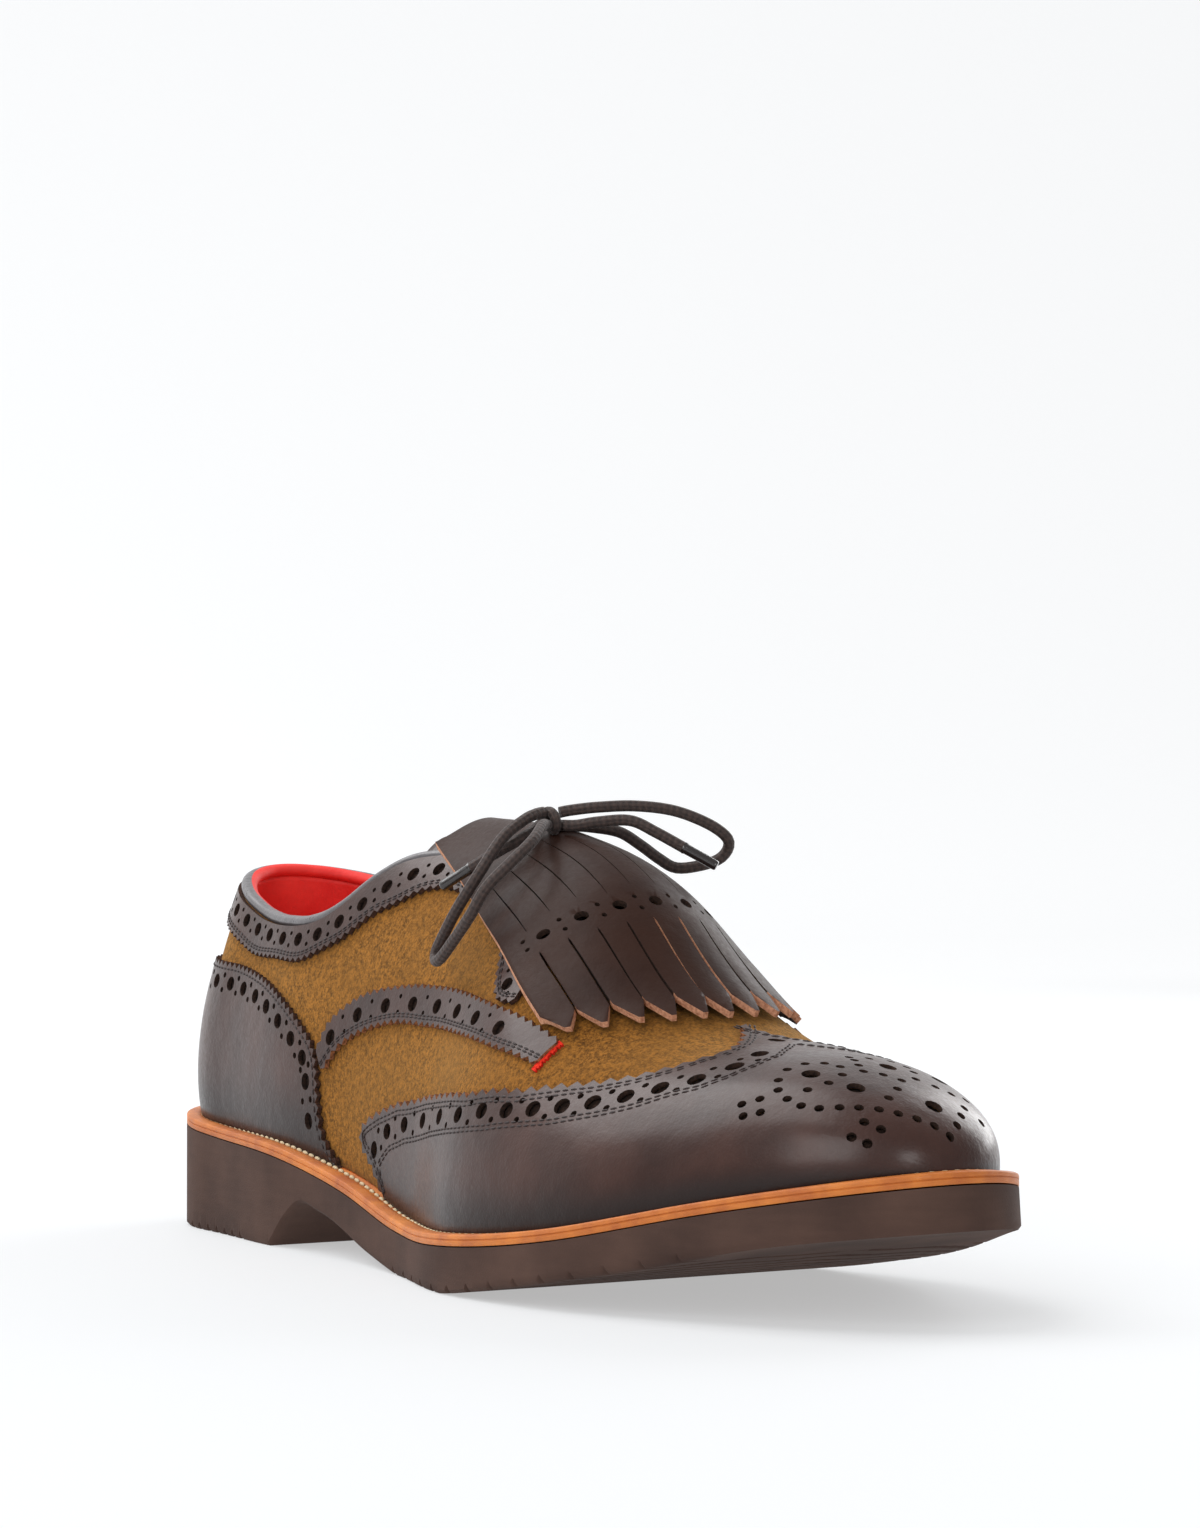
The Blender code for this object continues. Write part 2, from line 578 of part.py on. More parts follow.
def make_kiltie():
    width = 2.0 / STRIPS
    gap = SLIT * width
    stops = []
    slits = []
    for number in range(STRIPS):
        a, b = -1 + number * width + gap, -1 + (number + 1) * width - gap
        stops += [(a, 0), ((a + b) / 2, 1), (b, 0)]
        if number < STRIPS - 1:
            slits.append(len(stops) - 1)
    rows = [[kiltie_point(x, down) for x, middle in stops] for down in KILTIE_DOWNS]
    rows.append([kiltie_point(x, 1.0 if middle else TIP_ROW) for x, middle in stops])
    first = KILTIE_DOWNS.index(SLIT_START)
    holes = [(i, j) for i in range(first, len(rows) - 1) for j in slits]
    return finish("kiltie", sheet(rows, holes), CALF, KILTIE, 1.0)


def make_bars():
    made = []
    for number, share in enumerate(BARS, 1):
        path, ups = [], []
        for k in range(-4, 5):
            t = BAR_REACH * k / 4
            s = min(max(share * LENGTH, FIRST), LAST)
            path.append(on_last(share, t, GAP + OVERLAY + GAP + BAR_HEIGHT / 2))
            n = outward(s, t)
            ups.append(Vector((n.y, -n.x, n.z)))
        made.append(tube("lace_bar_%d" % number, path, LACE, BAR_HEIGHT, 8, LACE_COTTON, ups))
    return made


def smooth_route(points, step):
    # a smooth curve through the points of a cord, read at even steps
    full = [points[0] * 2 - points[1]] + points + [points[-1] * 2 - points[-2]]
    fine = []
    for a, b, c, d in zip(full, full[1:], full[2:], full[3:]):
        for k in range(12):
            u = k / 12
            fine.append(0.5 * (2 * b + (c - a) * u + (2 * a - 5 * b + 4 * c - d) * u * u
                               + (3 * b - a - 3 * c + d) * u ** 3))
    fine.append(points[-1])
    lengths = [0.0]
    for a, b in zip(fine, fine[1:]):
        lengths.append(lengths[-1] + (b - a).length)
    count = max(2, round(lengths[-1] / step))
    read_off = []
    i = 0
    for k in range(count + 1):
        want = lengths[-1] * k / count
        while i < len(lengths) - 2 and lengths[i + 1] < want:
            i += 1
        span = max(lengths[i + 1] - lengths[i], 1e-9)
        read_off.append(fine[i].lerp(fine[i + 1], min(1.0, (want - lengths[i]) / span)))
    return read_off


def cord(name, points, radius, skin_material):
    curve = bpy.data.curves.new(name, "CURVE")
    curve.dimensions = "3D"
    spline = curve.splines.new("POLY")
    spline.points.add(len(points) - 1)
    for point, p in zip(spline.points, points):
        point.co = (p.x, p.y, p.z, 1)
    curve.bevel_depth = radius
    curve.bevel_resolution = 2
    curve.use_fill_caps = True
    curve.materials.append(skin_material)
    made = bpy.data.objects.new(name, curve)
    bpy.context.scene.collection.objects.link(made)
    return made


def make_bow():
    middle = on_last(KNOT_ALONG, KNOT_PLACE, KNOT_LIFT)
    steps = 16
    turn = []
    for k in range(steps + 1):
        angle = math.radians(KNOT_TURN) * k / steps
        turn.append(middle + Vector((0, KNOT_RADIUS * math.cos(angle), KNOT_RADIUS * math.sin(angle))))
    cord("lace_knot", turn, LACE / 2, LACE_COTTON)
    for name, route in ROUTES.items():
        points = smooth_route([middle + Vector(p) * MM for p in route], 1.5 * LACE)
        cord(name, points, LACE / 2, LACE_COTTON)
        if name.endswith("_end"):
            ahead = (points[-1] - points[-2]).normalized()
            start = points[-1] + ahead * GAP
            cord(name.replace("_end", "_aglet"), [start, start + ahead * AGLET_LENGTH], AGLET / 2, CALF)


make_outsole()
make_plate("midsole", 0.0, -MIDSOLE, 0.0, TAN_LEATHER, 0.03 * MM, LENGTH - 0.03 * MM, 40)
make_insole()
make_upper()
make_counter()
make_wing()
make_strap("lateral_strap", -1)
make_strap("medial_strap", 1)
make_band()
make_back_strip()
make_binding()
make_tongue()
make_kiltie()
make_bars()
make_bow()
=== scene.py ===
# Fringed brogue for the right foot: suede vamp and quarters under dark calf with punched, pinked edges,
# a fringed kiltie under the bow, a tan welt and a foam rubber sole. Metres, toe to -Y, outer side at -X.
import math

import bmesh
import bpy
import numpy as np
from mathutils import Matrix, Vector


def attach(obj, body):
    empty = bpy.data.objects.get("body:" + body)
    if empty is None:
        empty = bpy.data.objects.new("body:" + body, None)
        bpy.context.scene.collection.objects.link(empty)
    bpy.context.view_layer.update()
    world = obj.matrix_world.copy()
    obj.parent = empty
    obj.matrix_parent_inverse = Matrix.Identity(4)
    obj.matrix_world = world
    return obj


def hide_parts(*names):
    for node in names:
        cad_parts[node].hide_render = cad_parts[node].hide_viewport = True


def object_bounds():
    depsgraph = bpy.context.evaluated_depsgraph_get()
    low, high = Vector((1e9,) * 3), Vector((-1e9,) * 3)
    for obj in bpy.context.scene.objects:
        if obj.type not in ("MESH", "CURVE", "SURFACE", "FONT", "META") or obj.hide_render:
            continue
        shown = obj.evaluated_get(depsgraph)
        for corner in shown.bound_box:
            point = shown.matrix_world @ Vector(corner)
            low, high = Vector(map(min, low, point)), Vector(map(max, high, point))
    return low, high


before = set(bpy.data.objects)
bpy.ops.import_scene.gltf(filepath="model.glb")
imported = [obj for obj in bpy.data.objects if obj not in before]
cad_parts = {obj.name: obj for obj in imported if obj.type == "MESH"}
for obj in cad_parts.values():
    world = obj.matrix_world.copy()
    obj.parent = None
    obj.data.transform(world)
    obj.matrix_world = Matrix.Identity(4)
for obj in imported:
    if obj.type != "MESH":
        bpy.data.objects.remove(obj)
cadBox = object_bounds()
mm = 0.001
print("frame loaded")


# the last, which every piece of the upper lies on
last = {
    "length": 305 * mm, "ballWidth": 106 * mm, "soleHeight": 30 * mm, "instepHeight": 100 * mm,
    "backRise": 90 * mm, "heelRound": 35 * mm, "heelPower": 2.25, "toeRound": 74 * mm, "toePower": 2.0,
    "toeSwing": 6 * mm, "toeLean": 0.13, "marginHeel": 5 * mm, "marginFront": 6 * mm,
    "capRound": 40 * mm, "capPower": 2.5, "welt": 2.6 * mm, "wall": 2.0 * mm, "overlay": 1.2 * mm,
    "kiltie": 1.6 * mm, "gap": 0.3 * mm, "lace": 2.7 * mm}


def curves(columns, rows):
    # one smooth function of the first column for each of the others
    data = np.array(rows, float)
    xs = data[:, 0]
    spans = np.diff(xs)
    made = {}
    for name, ys in zip(columns.split()[1:], data.T[1:]):
        steps = np.diff(ys) / spans
        inner = (steps[:-1] * spans[1:] + steps[1:] * spans[:-1]) / (spans[:-1] + spans[1:])
        made[name] = (xs, ys, np.concatenate(([steps[0]], inner, [steps[-1]])))
    return made


def read(table, name, at):
    # the function's value; past either end it keeps the last row's
    xs, ys, slopes = table[name]
    at = np.clip(at, xs[0], xs[-1])
    i = np.clip(np.searchsorted(xs, at, side="right") - 1, 0, len(xs) - 2)
    h = xs[i + 1] - xs[i]
    u = (at - xs[i]) / h
    a = (2 * u ** 3 - 3 * u * u + 1) * ys[i] + (3 * u * u - 2 * u ** 3) * ys[i + 1]
    return a + h * ((u ** 3 - 2 * u * u + u) * slopes[i] + (u ** 3 - u * u) * slopes[i + 1])


outline = curves("along lateral medial", [
    (0.000, 0.326, 0.340), (0.125, 0.326, 0.340), (0.246, 0.357, 0.321), (0.367, 0.360, 0.292),
    (0.492, 0.407, 0.349), (0.623, 0.502, 0.458), (0.738, 0.485, 0.495), (0.836, 0.425, 0.439),
    (1.000, 0.396, 0.406)])
soleTop = curves("along height", [
    (0.000, 1.007), (0.131, 0.900), (0.262, 0.827), (0.377, 0.637), (0.492, 0.430),
    (0.623, 0.447), (0.754, 0.593), (0.869, 0.840), (1.000, 1.100)])
soleBottom = curves("along height", [
    (0.000, 0.000), (0.252, 0.000), (0.277, 0.230), (0.303, 0.385), (0.335, 0.345), (0.426, 0.110),
    (0.495, 0.000), (0.616, 0.000), (0.720, 0.150), (0.820, 0.335), (0.918, 0.560), (1.000, 0.690)])
ridge = curves("along height", [
    (0.02, 1.160), (0.12, 1.170), (0.22, 1.140), (0.32, 1.075), (0.40, 1.015), (0.46, 0.985),
    (0.52, 0.957), (0.58, 0.897), (0.64, 0.788), (0.70, 0.655), (0.76, 0.570), (0.82, 0.545),
    (0.88, 0.525), (0.94, 0.500), (1.00, 0.480)])
section = curves("along lateral medial rise crown drop", [
    (0.00, 0.045, 0.040, 0.34, 0.44, 0.02), (0.13, 0.050, 0.045, 0.36, 0.50, 0.02),
    (0.25, 0.045, 0.040, 0.40, 0.57, 0.02), (0.36, 0.030, 0.020, 0.42, 0.62, 0.02),
    (0.48, 0.030, 0.010, 0.36, 0.51, 0.00), (0.60, 0.035, 0.010, 0.38, 0.52, 0.00),
    (0.70, 0.040, 0.020, 0.50, 0.59, 0.00), (0.80, 0.018, 0.018, 0.62, 0.64, 0.00),
    (0.90, 0.018, 0.018, 0.68, 0.62, 0.00), (1.00, 0.018, 0.018, 0.68, 0.62, 0.00)])
backLine = curves("rise shift", [
    (0.00, 0.000), (0.12, -0.004), (0.26, 0.007), (0.45, 0.047), (0.65, 0.087), (0.85, 0.102),
    (1.20, 0.122)])
opening = curves("along lateral medial", [
    (0.016, 0.435, 0.435), (0.056, 0.467, 0.456), (0.105, 0.507, 0.482), (0.153, 0.534, 0.506),
    (0.209, 0.541, 0.513), (0.251, 0.526, 0.502), (0.279, 0.495, 0.473), (0.302, 0.448, 0.431),
    (0.329, 0.368, 0.355), (0.363, 0.268, 0.260), (0.395, 0.208, 0.204), (0.430, 0.165, 0.162),
    (0.500, 0.120, 0.120), (0.570, 0.090, 0.090), (0.610, 0.062, 0.062), (0.630, 0.000, 0.000)])
throatEnd = 0.630


def soleHeight(s):
    return read(soleTop, "height", s / last["length"]) * last["soleHeight"]


def underside(s):
    return np.maximum(0, read(soleBottom, "height", s / last["length"])) * last["soleHeight"]


def edgeOf(s, side, inset=0.0):
    share = s / last["length"]
    wide = np.where(side < 0, read(outline, "lateral", share), read(outline, "medial", share))
    wide = wide * last["ballWidth"] - inset
    heelRound, toeRound = last["heelRound"], last["toeRound"]
    a = np.clip((heelRound - s) / (heelRound - inset), 0, 1)
    b = np.clip((s - last["length"] + toeRound) / (toeRound - inset), 0, 1)
    wide = wide * (1 - a ** last["heelPower"]) ** (1 / last["heelPower"])
    wide = wide * (1 - b ** last["toePower"]) ** (1 / last["toePower"])
    return side * wide + last["toeSwing"] * np.maximum(0, (share - 0.59) / 0.41) ** 2


def marginAt(s):
    share = np.clip((s / last["length"] - 0.1) / 0.3, 0, 1)
    return last["marginHeel"] + (last["marginFront"] - last["marginHeel"]) * share


firstS, lastS = last["marginHeel"], last["length"] - last["marginFront"]
samples = last["length"] * np.arange(601) / 600
middleX = (edgeOf(samples, 1).max() + edgeOf(samples, -1).min()) / 2
reach = last["toeLean"] * (float(soleHeight(last["length"])) - last["welt"] - last["gap"]
                           - float(underside(last["length"])))
middleY = (last["length"] + reach) / 2
# way round the feather edge, so that patterns run evenly round heel and toe
fineS = firstS + (lastS - firstS) * (0.5 - 0.5 * np.cos(np.pi * np.linspace(0, 1, 6001)))
fineX = (edgeOf(fineS, 1.0, marginAt(fineS)) - edgeOf(fineS, -1.0, marginAt(fineS))) / 2
fineW = np.concatenate(([0.0], np.cumsum(np.hypot(np.diff(fineS), np.diff(fineX)))))
wayLength = float(fineW[-1])


def wayOf(share):
    return np.interp(np.asarray(share) * last["length"], fineS, fineW)


def shareOf(way):
    return np.interp(way, fineW, fineS) / last["length"]


def skin(way, place):
    # a point of the last; below 0 and past the toe the way goes on along the other side
    way, place = np.broadcast_arrays(np.asarray(way, float), np.asarray(place, float))
    side = np.where(place < 0, -1.0, 1.0)
    side = np.where((way < 0) | (way > wayLength), -side, side)
    way = np.abs(way)
    way = np.where(way > wayLength, 2 * wayLength - way, way)
    s = np.interp(way, fineW, fineS)
    t = np.abs(place)
    share = s / last["length"]
    low = soleHeight(s) + last["gap"]
    margin = marginAt(s)
    x0 = edgeOf(s, side, margin)
    b = np.clip((s - lastS + last["capRound"]) / last["capRound"], 0, 1)
    top = read(ridge, "height", share) * last["instepHeight"]
    high = low + (top - low) * (1 - b ** last["capPower"]) ** (1 / last["capPower"])
    xr = (edgeOf(s, np.ones_like(s), margin) + edgeOf(s, -np.ones_like(s), margin)) / 2
    swell = np.where(side < 0, read(section, "lateral", share), read(section, "medial", share))
    swell = swell * last["ballWidth"] * np.minimum(1, np.abs(x0 - xr) / (0.2 * last["ballWidth"]))
    x1, z1 = x0 + side * swell, low + read(section, "rise", share) * (high - low)
    x2 = xr + (x0 - xr) * read(section, "crown", share)
    z2 = high - read(section, "drop", share) * (high - low)
    k = 1 - t
    x = t ** 3 * x0 + 3 * t * t * k * x1 + 3 * t * k * k * x2 + k ** 3 * xr
    z = t ** 3 * low + 3 * t * t * k * z1 + 3 * t * k * k * z2 + k ** 3 * high
    fade = np.maximum(0, 1 - (s - firstS) / (0.33 * last["length"])) ** 2
    back = read(backLine, "shift", np.maximum(0, (z - low) / last["backRise"])) * last["backRise"] * fade
    return np.stack([x - middleX, middleY - s - back, z], -1)


def unit(v):
    return v / np.maximum(np.linalg.norm(v, axis=-1, keepdims=True), 1e-12)


def frameAt(way, place):
    # the last's point, outward direction, and how the point moves with the way and the place
    step, turn = 0.4 * mm, 0.01
    way, place = np.broadcast_arrays(np.asarray(way, float), np.asarray(place, float))
    inner = np.clip(way, -wayLength + step * 1.5, wayLength - step * 1.5)
    lo, hi = np.clip(place - turn, -1, 1), np.clip(place + turn, -1, 1)
    hi = np.where((place < 0) & (hi > 0) & (way < 0), -1e-6, hi)
    alongWay = (skin(inner + step, place) - skin(inner - step, place)) / (2 * step)
    alongPlace = (skin(inner, hi) - skin(inner, lo)) / (hi - lo)[..., None]
    return skin(way, place), unit(np.cross(alongWay, alongPlace)), alongWay, alongPlace


def onLast(way, place, lift=0.0):
    point, out, alongWay, alongPlace = frameAt(way, place)
    return point + out * np.broadcast_to(lift, np.shape(point)[:-1])[..., None]


# the camera, at the angle and distance of the photograph
view = {"place": (-0.5160, -0.8560, 0.1078), "azimuth": -31.63, "tilt": 0.59, "lens": 99.9}
camera = bpy.data.objects.new("camera", bpy.data.cameras.new("camera"))
camera.data.lens = view["lens"]
camera.data.sensor_width = 36
camera.data.clip_start = 0.01
camera.location = view["place"]
camera.rotation_euler = (math.radians(90 + view["tilt"]), 0, math.radians(view["azimuth"]))
bpy.context.scene.collection.objects.link(camera)
bpy.context.scene.camera = camera


def linear(code):
    # sRGB hex to linear colour
    parts = [int(code[i:i + 2], 16) / 255 for i in (1, 3, 5)]
    return (*[p / 12.92 if p <= 0.04045 else ((p + 0.055) / 1.055) ** 2.4 for p in parts], 1)


def add(tree, kind, settings=None, links=None):
    # one node with its settings, and the sockets that feed it
    node = tree.nodes.new("ShaderNode" + kind)
    for name, value in (settings or {}).items():
        if isinstance(name, int) or name in node.inputs:
            node.inputs[name].default_value = value
        else:
            setattr(node, name, value)
    for name, socket in (links or {}).items():
        tree.links.new(socket, node.inputs[name])
    return node


def shader(name, settings):
    made = bpy.data.materials.new(name)
    made.use_nodes = True
    tree = made.node_tree
    main = tree.nodes["Principled BSDF"]
    for key, value in settings.items():
        main.inputs[key].default_value = value
    place = add(tree, "TexCoord")
    return made, tree, main, place.outputs["Object"]


def twoTone(tree, factor, dark, light, low=0.3, high=0.7):
    ramp = add(tree, "ValToRGB", None, {"Fac": factor})
    ramp.color_ramp.elements[0].position, ramp.color_ramp.elements[1].position = low, high
    ramp.color_ramp.elements[0].color, ramp.color_ramp.elements[1].color = linear(dark), linear(light)
    return ramp.outputs["Color"]


def bumpy(tree, main, height, strength, distance, under=None):
    bump = add(tree, "Bump", {"Strength": strength, "Distance": distance},
               {"Height": height, **({"Normal": under} if under else {})})
    tree.links.new(bump.outputs["Normal"], main.inputs["Normal"])
    return bump.outputs["Normal"]


def suede(name, dark, light, patch):
    # nap raised by sanding: soft matt fibres of about 0.4 mm, brushed into paler and darker patches
    made, tree, main, place = shader(name, {
        "Roughness": 0.95, "Specular IOR Level": 0.15, "Sheen Weight": 0.35, "Sheen Roughness": 0.5,
        "Sheen Tint": linear("#d9b878")})
    fibres = add(tree, "TexNoise", {"Scale": 1700, "Detail": 3, "Roughness": 0.7}, {"Vector": place})
    clumps = add(tree, "TexNoise", {"Scale": 760, "Detail": 3, "Roughness": 0.6}, {"Vector": place})
    brushed = add(tree, "TexNoise", {"Scale": 60, "Detail": 2, "Distortion": 0.6}, {"Vector": place})
    fine = add(tree, "Mix", {"data_type": "FLOAT", 0: 0.45},
               {2: fibres.outputs["Fac"], 3: clumps.outputs["Fac"]})
    tone = twoTone(tree, fine.outputs[0], dark, light, 0.4, 0.6)
    patches = add(tree, "MapRange", {"From Min": 0.4, "From Max": 0.66, "To Min": 0.0, "To Max": 0.35},
                  {"Value": brushed.outputs["Fac"]})
    colour = add(tree, "Mix", {"data_type": "RGBA", "blend_type": "MIX", 7: linear(patch)},
                 {0: patches.outputs["Result"], 6: tone})
    tree.links.new(colour.outputs[2], main.inputs["Base Color"])
    bumpy(tree, main, fine.outputs[0], 0.55, 0.5 * mm)
    return made


def calf(name, dark, light, roughness, coat, grain=0.12, shine=0.5, paintedWeltShade=False):
    # aniline calf, plated smooth: tight pores of about 0.5 mm and a waxed, uneven polish
    made, tree, main, place = shader(name, {
        "Roughness": roughness, "Specular IOR Level": shine, "Coat Weight": coat, "Coat Roughness": 0.25})
    pores = add(tree, "TexVoronoi", {"Scale": 1700}, {"Vector": place})
    pebble = add(tree, "TexNoise", {"Scale": 900, "Detail": 4, "Roughness": 0.6}, {"Vector": place})
    polish = add(tree, "TexNoise", {"Scale": 55, "Detail": 5, "Roughness": 0.55}, {"Vector": place})
    tone = twoTone(tree, polish.outputs["Fac"], dark, light)
    if paintedWeltShade:
        # painted shade of the cove by the welt: colour darkened and reflection dulled towards the sole; the
        # pattern's second coordinate is 1 at the sole
        spots = add(tree, "TexCoord")
        split = add(tree, "SeparateXYZ", None, {"Vector": spots.outputs["UV"]})
        down = add(tree, "MapRange", {"From Min": 0.84, "From Max": 0.98, "To Min": 0.0, "To Max": 0.95,
                                      "interpolation_type": "SMOOTHSTEP"}, {"Value": split.outputs["Y"]})
        darker = add(tree, "Mix", {"data_type": "RGBA", 7: linear("#1a0d0a")},
                     {0: down.outputs["Result"], 6: tone})
        tone = darker.outputs[2]
        dull = add(tree, "MapRange", {"From Min": 0.82, "From Max": 0.99, "To Min": shine, "To Max": 0.1},
                   {"Value": split.outputs["Y"]})
        tree.links.new(dull.outputs["Result"], main.inputs["Specular IOR Level"])
    tree.links.new(tone, main.inputs["Base Color"])
    gloss = add(tree, "MapRange", {"From Min": 0.3, "From Max": 0.7, "To Min": roughness - 0.05,
                                   "To Max": roughness + 0.09}, {"Value": pebble.outputs["Fac"]})
    tree.links.new(gloss.outputs["Result"], main.inputs["Roughness"])
    height = add(tree, "Mix", {"data_type": "FLOAT", 0: 0.6},
                 {2: pores.outputs["Distance"], 3: pebble.outputs["Fac"]})
    close = bumpy(tree, main, height.outputs[0], grain, 0.4 * mm)
    waves = add(tree, "TexNoise", {"Scale": 150, "Detail": 3}, {"Vector": place})  # soft wrinkles of 6 mm
    bumpy(tree, main, waves.outputs["Fac"], grain * 1.6, 1.2 * mm, close)
    return made


def rawEdge(name, dark, light):
    # cut edge of leather: undyed fibres, rough and a little fuzzy
    made, tree, main, place = shader(name, {"Roughness": 0.9, "Specular IOR Level": 0.2})
    fibres = add(tree, "TexNoise", {"Scale": 1500, "Detail": 4}, {"Vector": place})
    tree.links.new(twoTone(tree, fibres.outputs["Fac"], dark, light), main.inputs["Base Color"])
    bumpy(tree, main, fibres.outputs["Fac"], 0.5, 0.3 * mm)
    return made


def weltLeather(name):
    # vegetable tanned sole leather, trimmed and waxed: short fibres lie along the edge
    made, tree, main, place = shader(name, {"Roughness": 0.55, "Coat Weight": 0.1})
    coords = add(tree, "TexCoord")
    stretch = add(tree, "Mapping", {"Scale": (160, 2600, 1)}, {"Vector": coords.outputs["UV"]})
    fibres = add(tree, "TexNoise", {"Scale": 1, "Detail": 5, "Roughness": 0.7},
                 {"Vector": stretch.outputs["Vector"]})
    blotch = add(tree, "TexNoise", {"Scale": 130, "Detail": 4}, {"Vector": place})
    mixed = add(tree, "Mix", {"data_type": "FLOAT", 0: 0.4},
                {2: fibres.outputs["Fac"], 3: blotch.outputs["Fac"]})
    tree.links.new(twoTone(tree, mixed.outputs[0], "#963e08", "#dc822a", 0.36, 0.62),
                   main.inputs["Base Color"])
    bumpy(tree, main, mixed.outputs[0], 0.4, 0.4 * mm)
    return made


def foamRubber(name):
    # expanded rubber sheet, ground at the edge: closed cells of about 0.4 mm and faint level scoring
    made, tree, main, place = shader(name, {"Roughness": 0.88, "Specular IOR Level": 0.3})
    cells = add(tree, "TexNoise", {"Scale": 2300, "Detail": 2}, {"Vector": place})
    level = add(tree, "Mapping", {"Scale": (90, 90, 700)}, {"Vector": place})
    scoring = add(tree, "TexNoise", {"Scale": 1, "Detail": 4}, {"Vector": level.outputs["Vector"]})
    cloud = add(tree, "TexNoise", {"Scale": 45, "Detail": 4}, {"Vector": place})
    mixed = add(tree, "Mix", {"data_type": "FLOAT", 0: 0.85},
                {2: scoring.outputs["Fac"], 3: cloud.outputs["Fac"]})
    tree.links.new(twoTone(tree, mixed.outputs[0], "#392822", "#523c33", 0.3, 0.7),
                   main.inputs["Base Color"])
    height = add(tree, "Mix", {"data_type": "FLOAT", 0: 0.45},
                 {2: cells.outputs["Fac"], 3: scoring.outputs["Fac"]})
    bumpy(tree, main, height.outputs[0], 0.35, 0.4 * mm)
    return made


def waxedLace(name, dark, light):
    # braided cotton with wax: eight strands cross at about 1.5 mm along the cord
    made, tree, main, place = shader(name, {"Roughness": 0.72, "Sheen Weight": 0.1})
    coords = add(tree, "TexCoord")
    split = add(tree, "SeparateXYZ", None, {"Vector": coords.outputs["UV"]})
    crossing, strands = 3.0 * mm, 4
    along = add(tree, "Math", {"operation": "MULTIPLY", 1: 2 * math.pi / crossing},
                {0: split.outputs["X"]})
    around = add(tree, "Math", {"operation": "MULTIPLY", 1: 2 * math.pi * strands}, {0: split.outputs["Y"]})
    waves = []
    for turning in ("ADD", "SUBTRACT"):
        phase = add(tree, "Math", {"operation": turning}, {0: along.outputs[0], 1: around.outputs[0]})
        waves.append(add(tree, "Math", {"operation": "SINE"}, {0: phase.outputs[0]}))
    braid = add(tree, "Math", {"operation": "MULTIPLY"},
                {0: waves[0].outputs[0], 1: waves[1].outputs[0]})
    fibres = add(tree, "TexNoise", {"Scale": 1600, "Detail": 3}, {"Vector": place})
    height = add(tree, "Math", {"operation": "MULTIPLY_ADD", 1: 0.3},
                 {0: braid.outputs[0], 2: fibres.outputs["Fac"]})
    tree.links.new(twoTone(tree, height.outputs[0], dark, light, 0.15, 0.85), main.inputs["Base Color"])
    bumpy(tree, main, height.outputs[0], 0.6, 0.5 * mm)
    return made


def thread(name, colour):
    # waxed linen thread, twisted
    made, tree, main, place = shader(name, {"Roughness": 0.6})
    twist = add(tree, "TexNoise", {"Scale": 2500, "Detail": 2}, {"Vector": place})
    main.inputs["Base Color"].default_value = linear(colour)
    bumpy(tree, main, twist.outputs["Fac"], 0.3, 0.3 * mm)
    return made


tanSuede = suede("tanSuede", "#4c2c0b", "#9a6425", "#734a1b")
# brownCalf gets painted shade, darker and duller towards the welt
brownCalf = calf("brownCalf", "#2e1a15", "#432a23", 0.38, 0.42, 0.24, 0.16, True)
kiltieCalf = calf("kiltieCalf", "#2a1812", "#362119", 0.46, 0.04, 0.12, 0.12)
bindingCalf = calf("bindingCalf", "#4c484a", "#5d5a5c", 0.30, 0.2, 0.25)
redLining = calf("redLining", "#dc1a14", "#f83a30", 0.62, 0.0, 0.2)
rawCalf = rawEdge("rawCalf", "#43291d", "#a86e48")
darkCut = rawEdge("darkCut", "#1f1613", "#54382b")
# cut edge painted near black: painted shade for hole walls, kiltie slits and the discs behind the holes
shadedHoleCut = rawEdge("shadedHoleCut", "#1c1310", "#3c2a21")
rawKiltie = rawEdge("rawKiltie", "#96634a", "#d09c7c")
rawRed = rawEdge("rawRed", "#b3120c", "#ef3a22")
tanWelt = weltLeather("tanWelt")
brownRubber = foamRubber("brownRubber")
brownLace = waxedLace("brownLace", "#211512", "#43322c")
darkThread = thread("darkThread", "#1f0c09")
creamThread = thread("creamThread", "#c9b591")
aglet = calf("aglet", "#1d1817", "#2a2422", 0.18, 0.6, 0.05)
print("materials made")


def piece(name, bm, materials, nodes=(), sharp=38, modifiers=()):
    mesh = bpy.data.meshes.new(name)
    bm.to_mesh(mesh)
    bm.free()
    for material in materials:
        mesh.materials.append(material)
    mesh.shade_smooth()
    mesh.set_sharp_from_angle(angle=math.radians(sharp))
    made = bpy.data.objects.new(name, mesh)
    bpy.context.scene.collection.objects.link(made)
    for kind, settings in modifiers:
        modifier = made.modifiers.new(kind.lower(), kind)
        for key, value in settings.items():
            setattr(modifier, key, value)
    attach(made, "root")
    if nodes:
        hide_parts(*nodes)
    return made


def moved(bm, where):
    # every vertex goes to where its flat place says
    flat = np.array([v.co[:] for v in bm.verts])
    for vert, point in zip(bm.verts, where(flat[:, 0], flat[:, 1], flat[:, 2])):
        vert.co = point
    return bm


def facing(bm, axis):
    # normals agree with each other and point along the axis
    bmesh.ops.recalc_face_normals(bm, faces=bm.faces)
    if sum(f.normal[axis] for f in bm.faces) < 0:
        bmesh.ops.reverse_faces(bm, faces=bm.faces)
    return bm


def repeated(name, stitches, subdivisions, material):
    # one rounded stitch, repeated and joined; each row holds its length, width, height and place
    seed = bmesh.new()
    bmesh.ops.create_icosphere(seed, subdivisions=subdivisions, radius=0.5)
    single = bpy.data.meshes.new("stitch")
    seed.to_mesh(single)
    seed.free()
    bm = bmesh.new()
    for row in stitches:
        turn = Matrix([tuple(part[k] for part in row) for k in range(3)] + [(0, 0, 0, 1)])
        single.transform(turn)
        bm.from_mesh(single)
        single.transform(turn.inverted())
    bpy.data.meshes.remove(single)
    bmesh.ops.recalc_face_normals(bm, faces=bm.faces)
    return piece(name, bm, [material], (), 80)


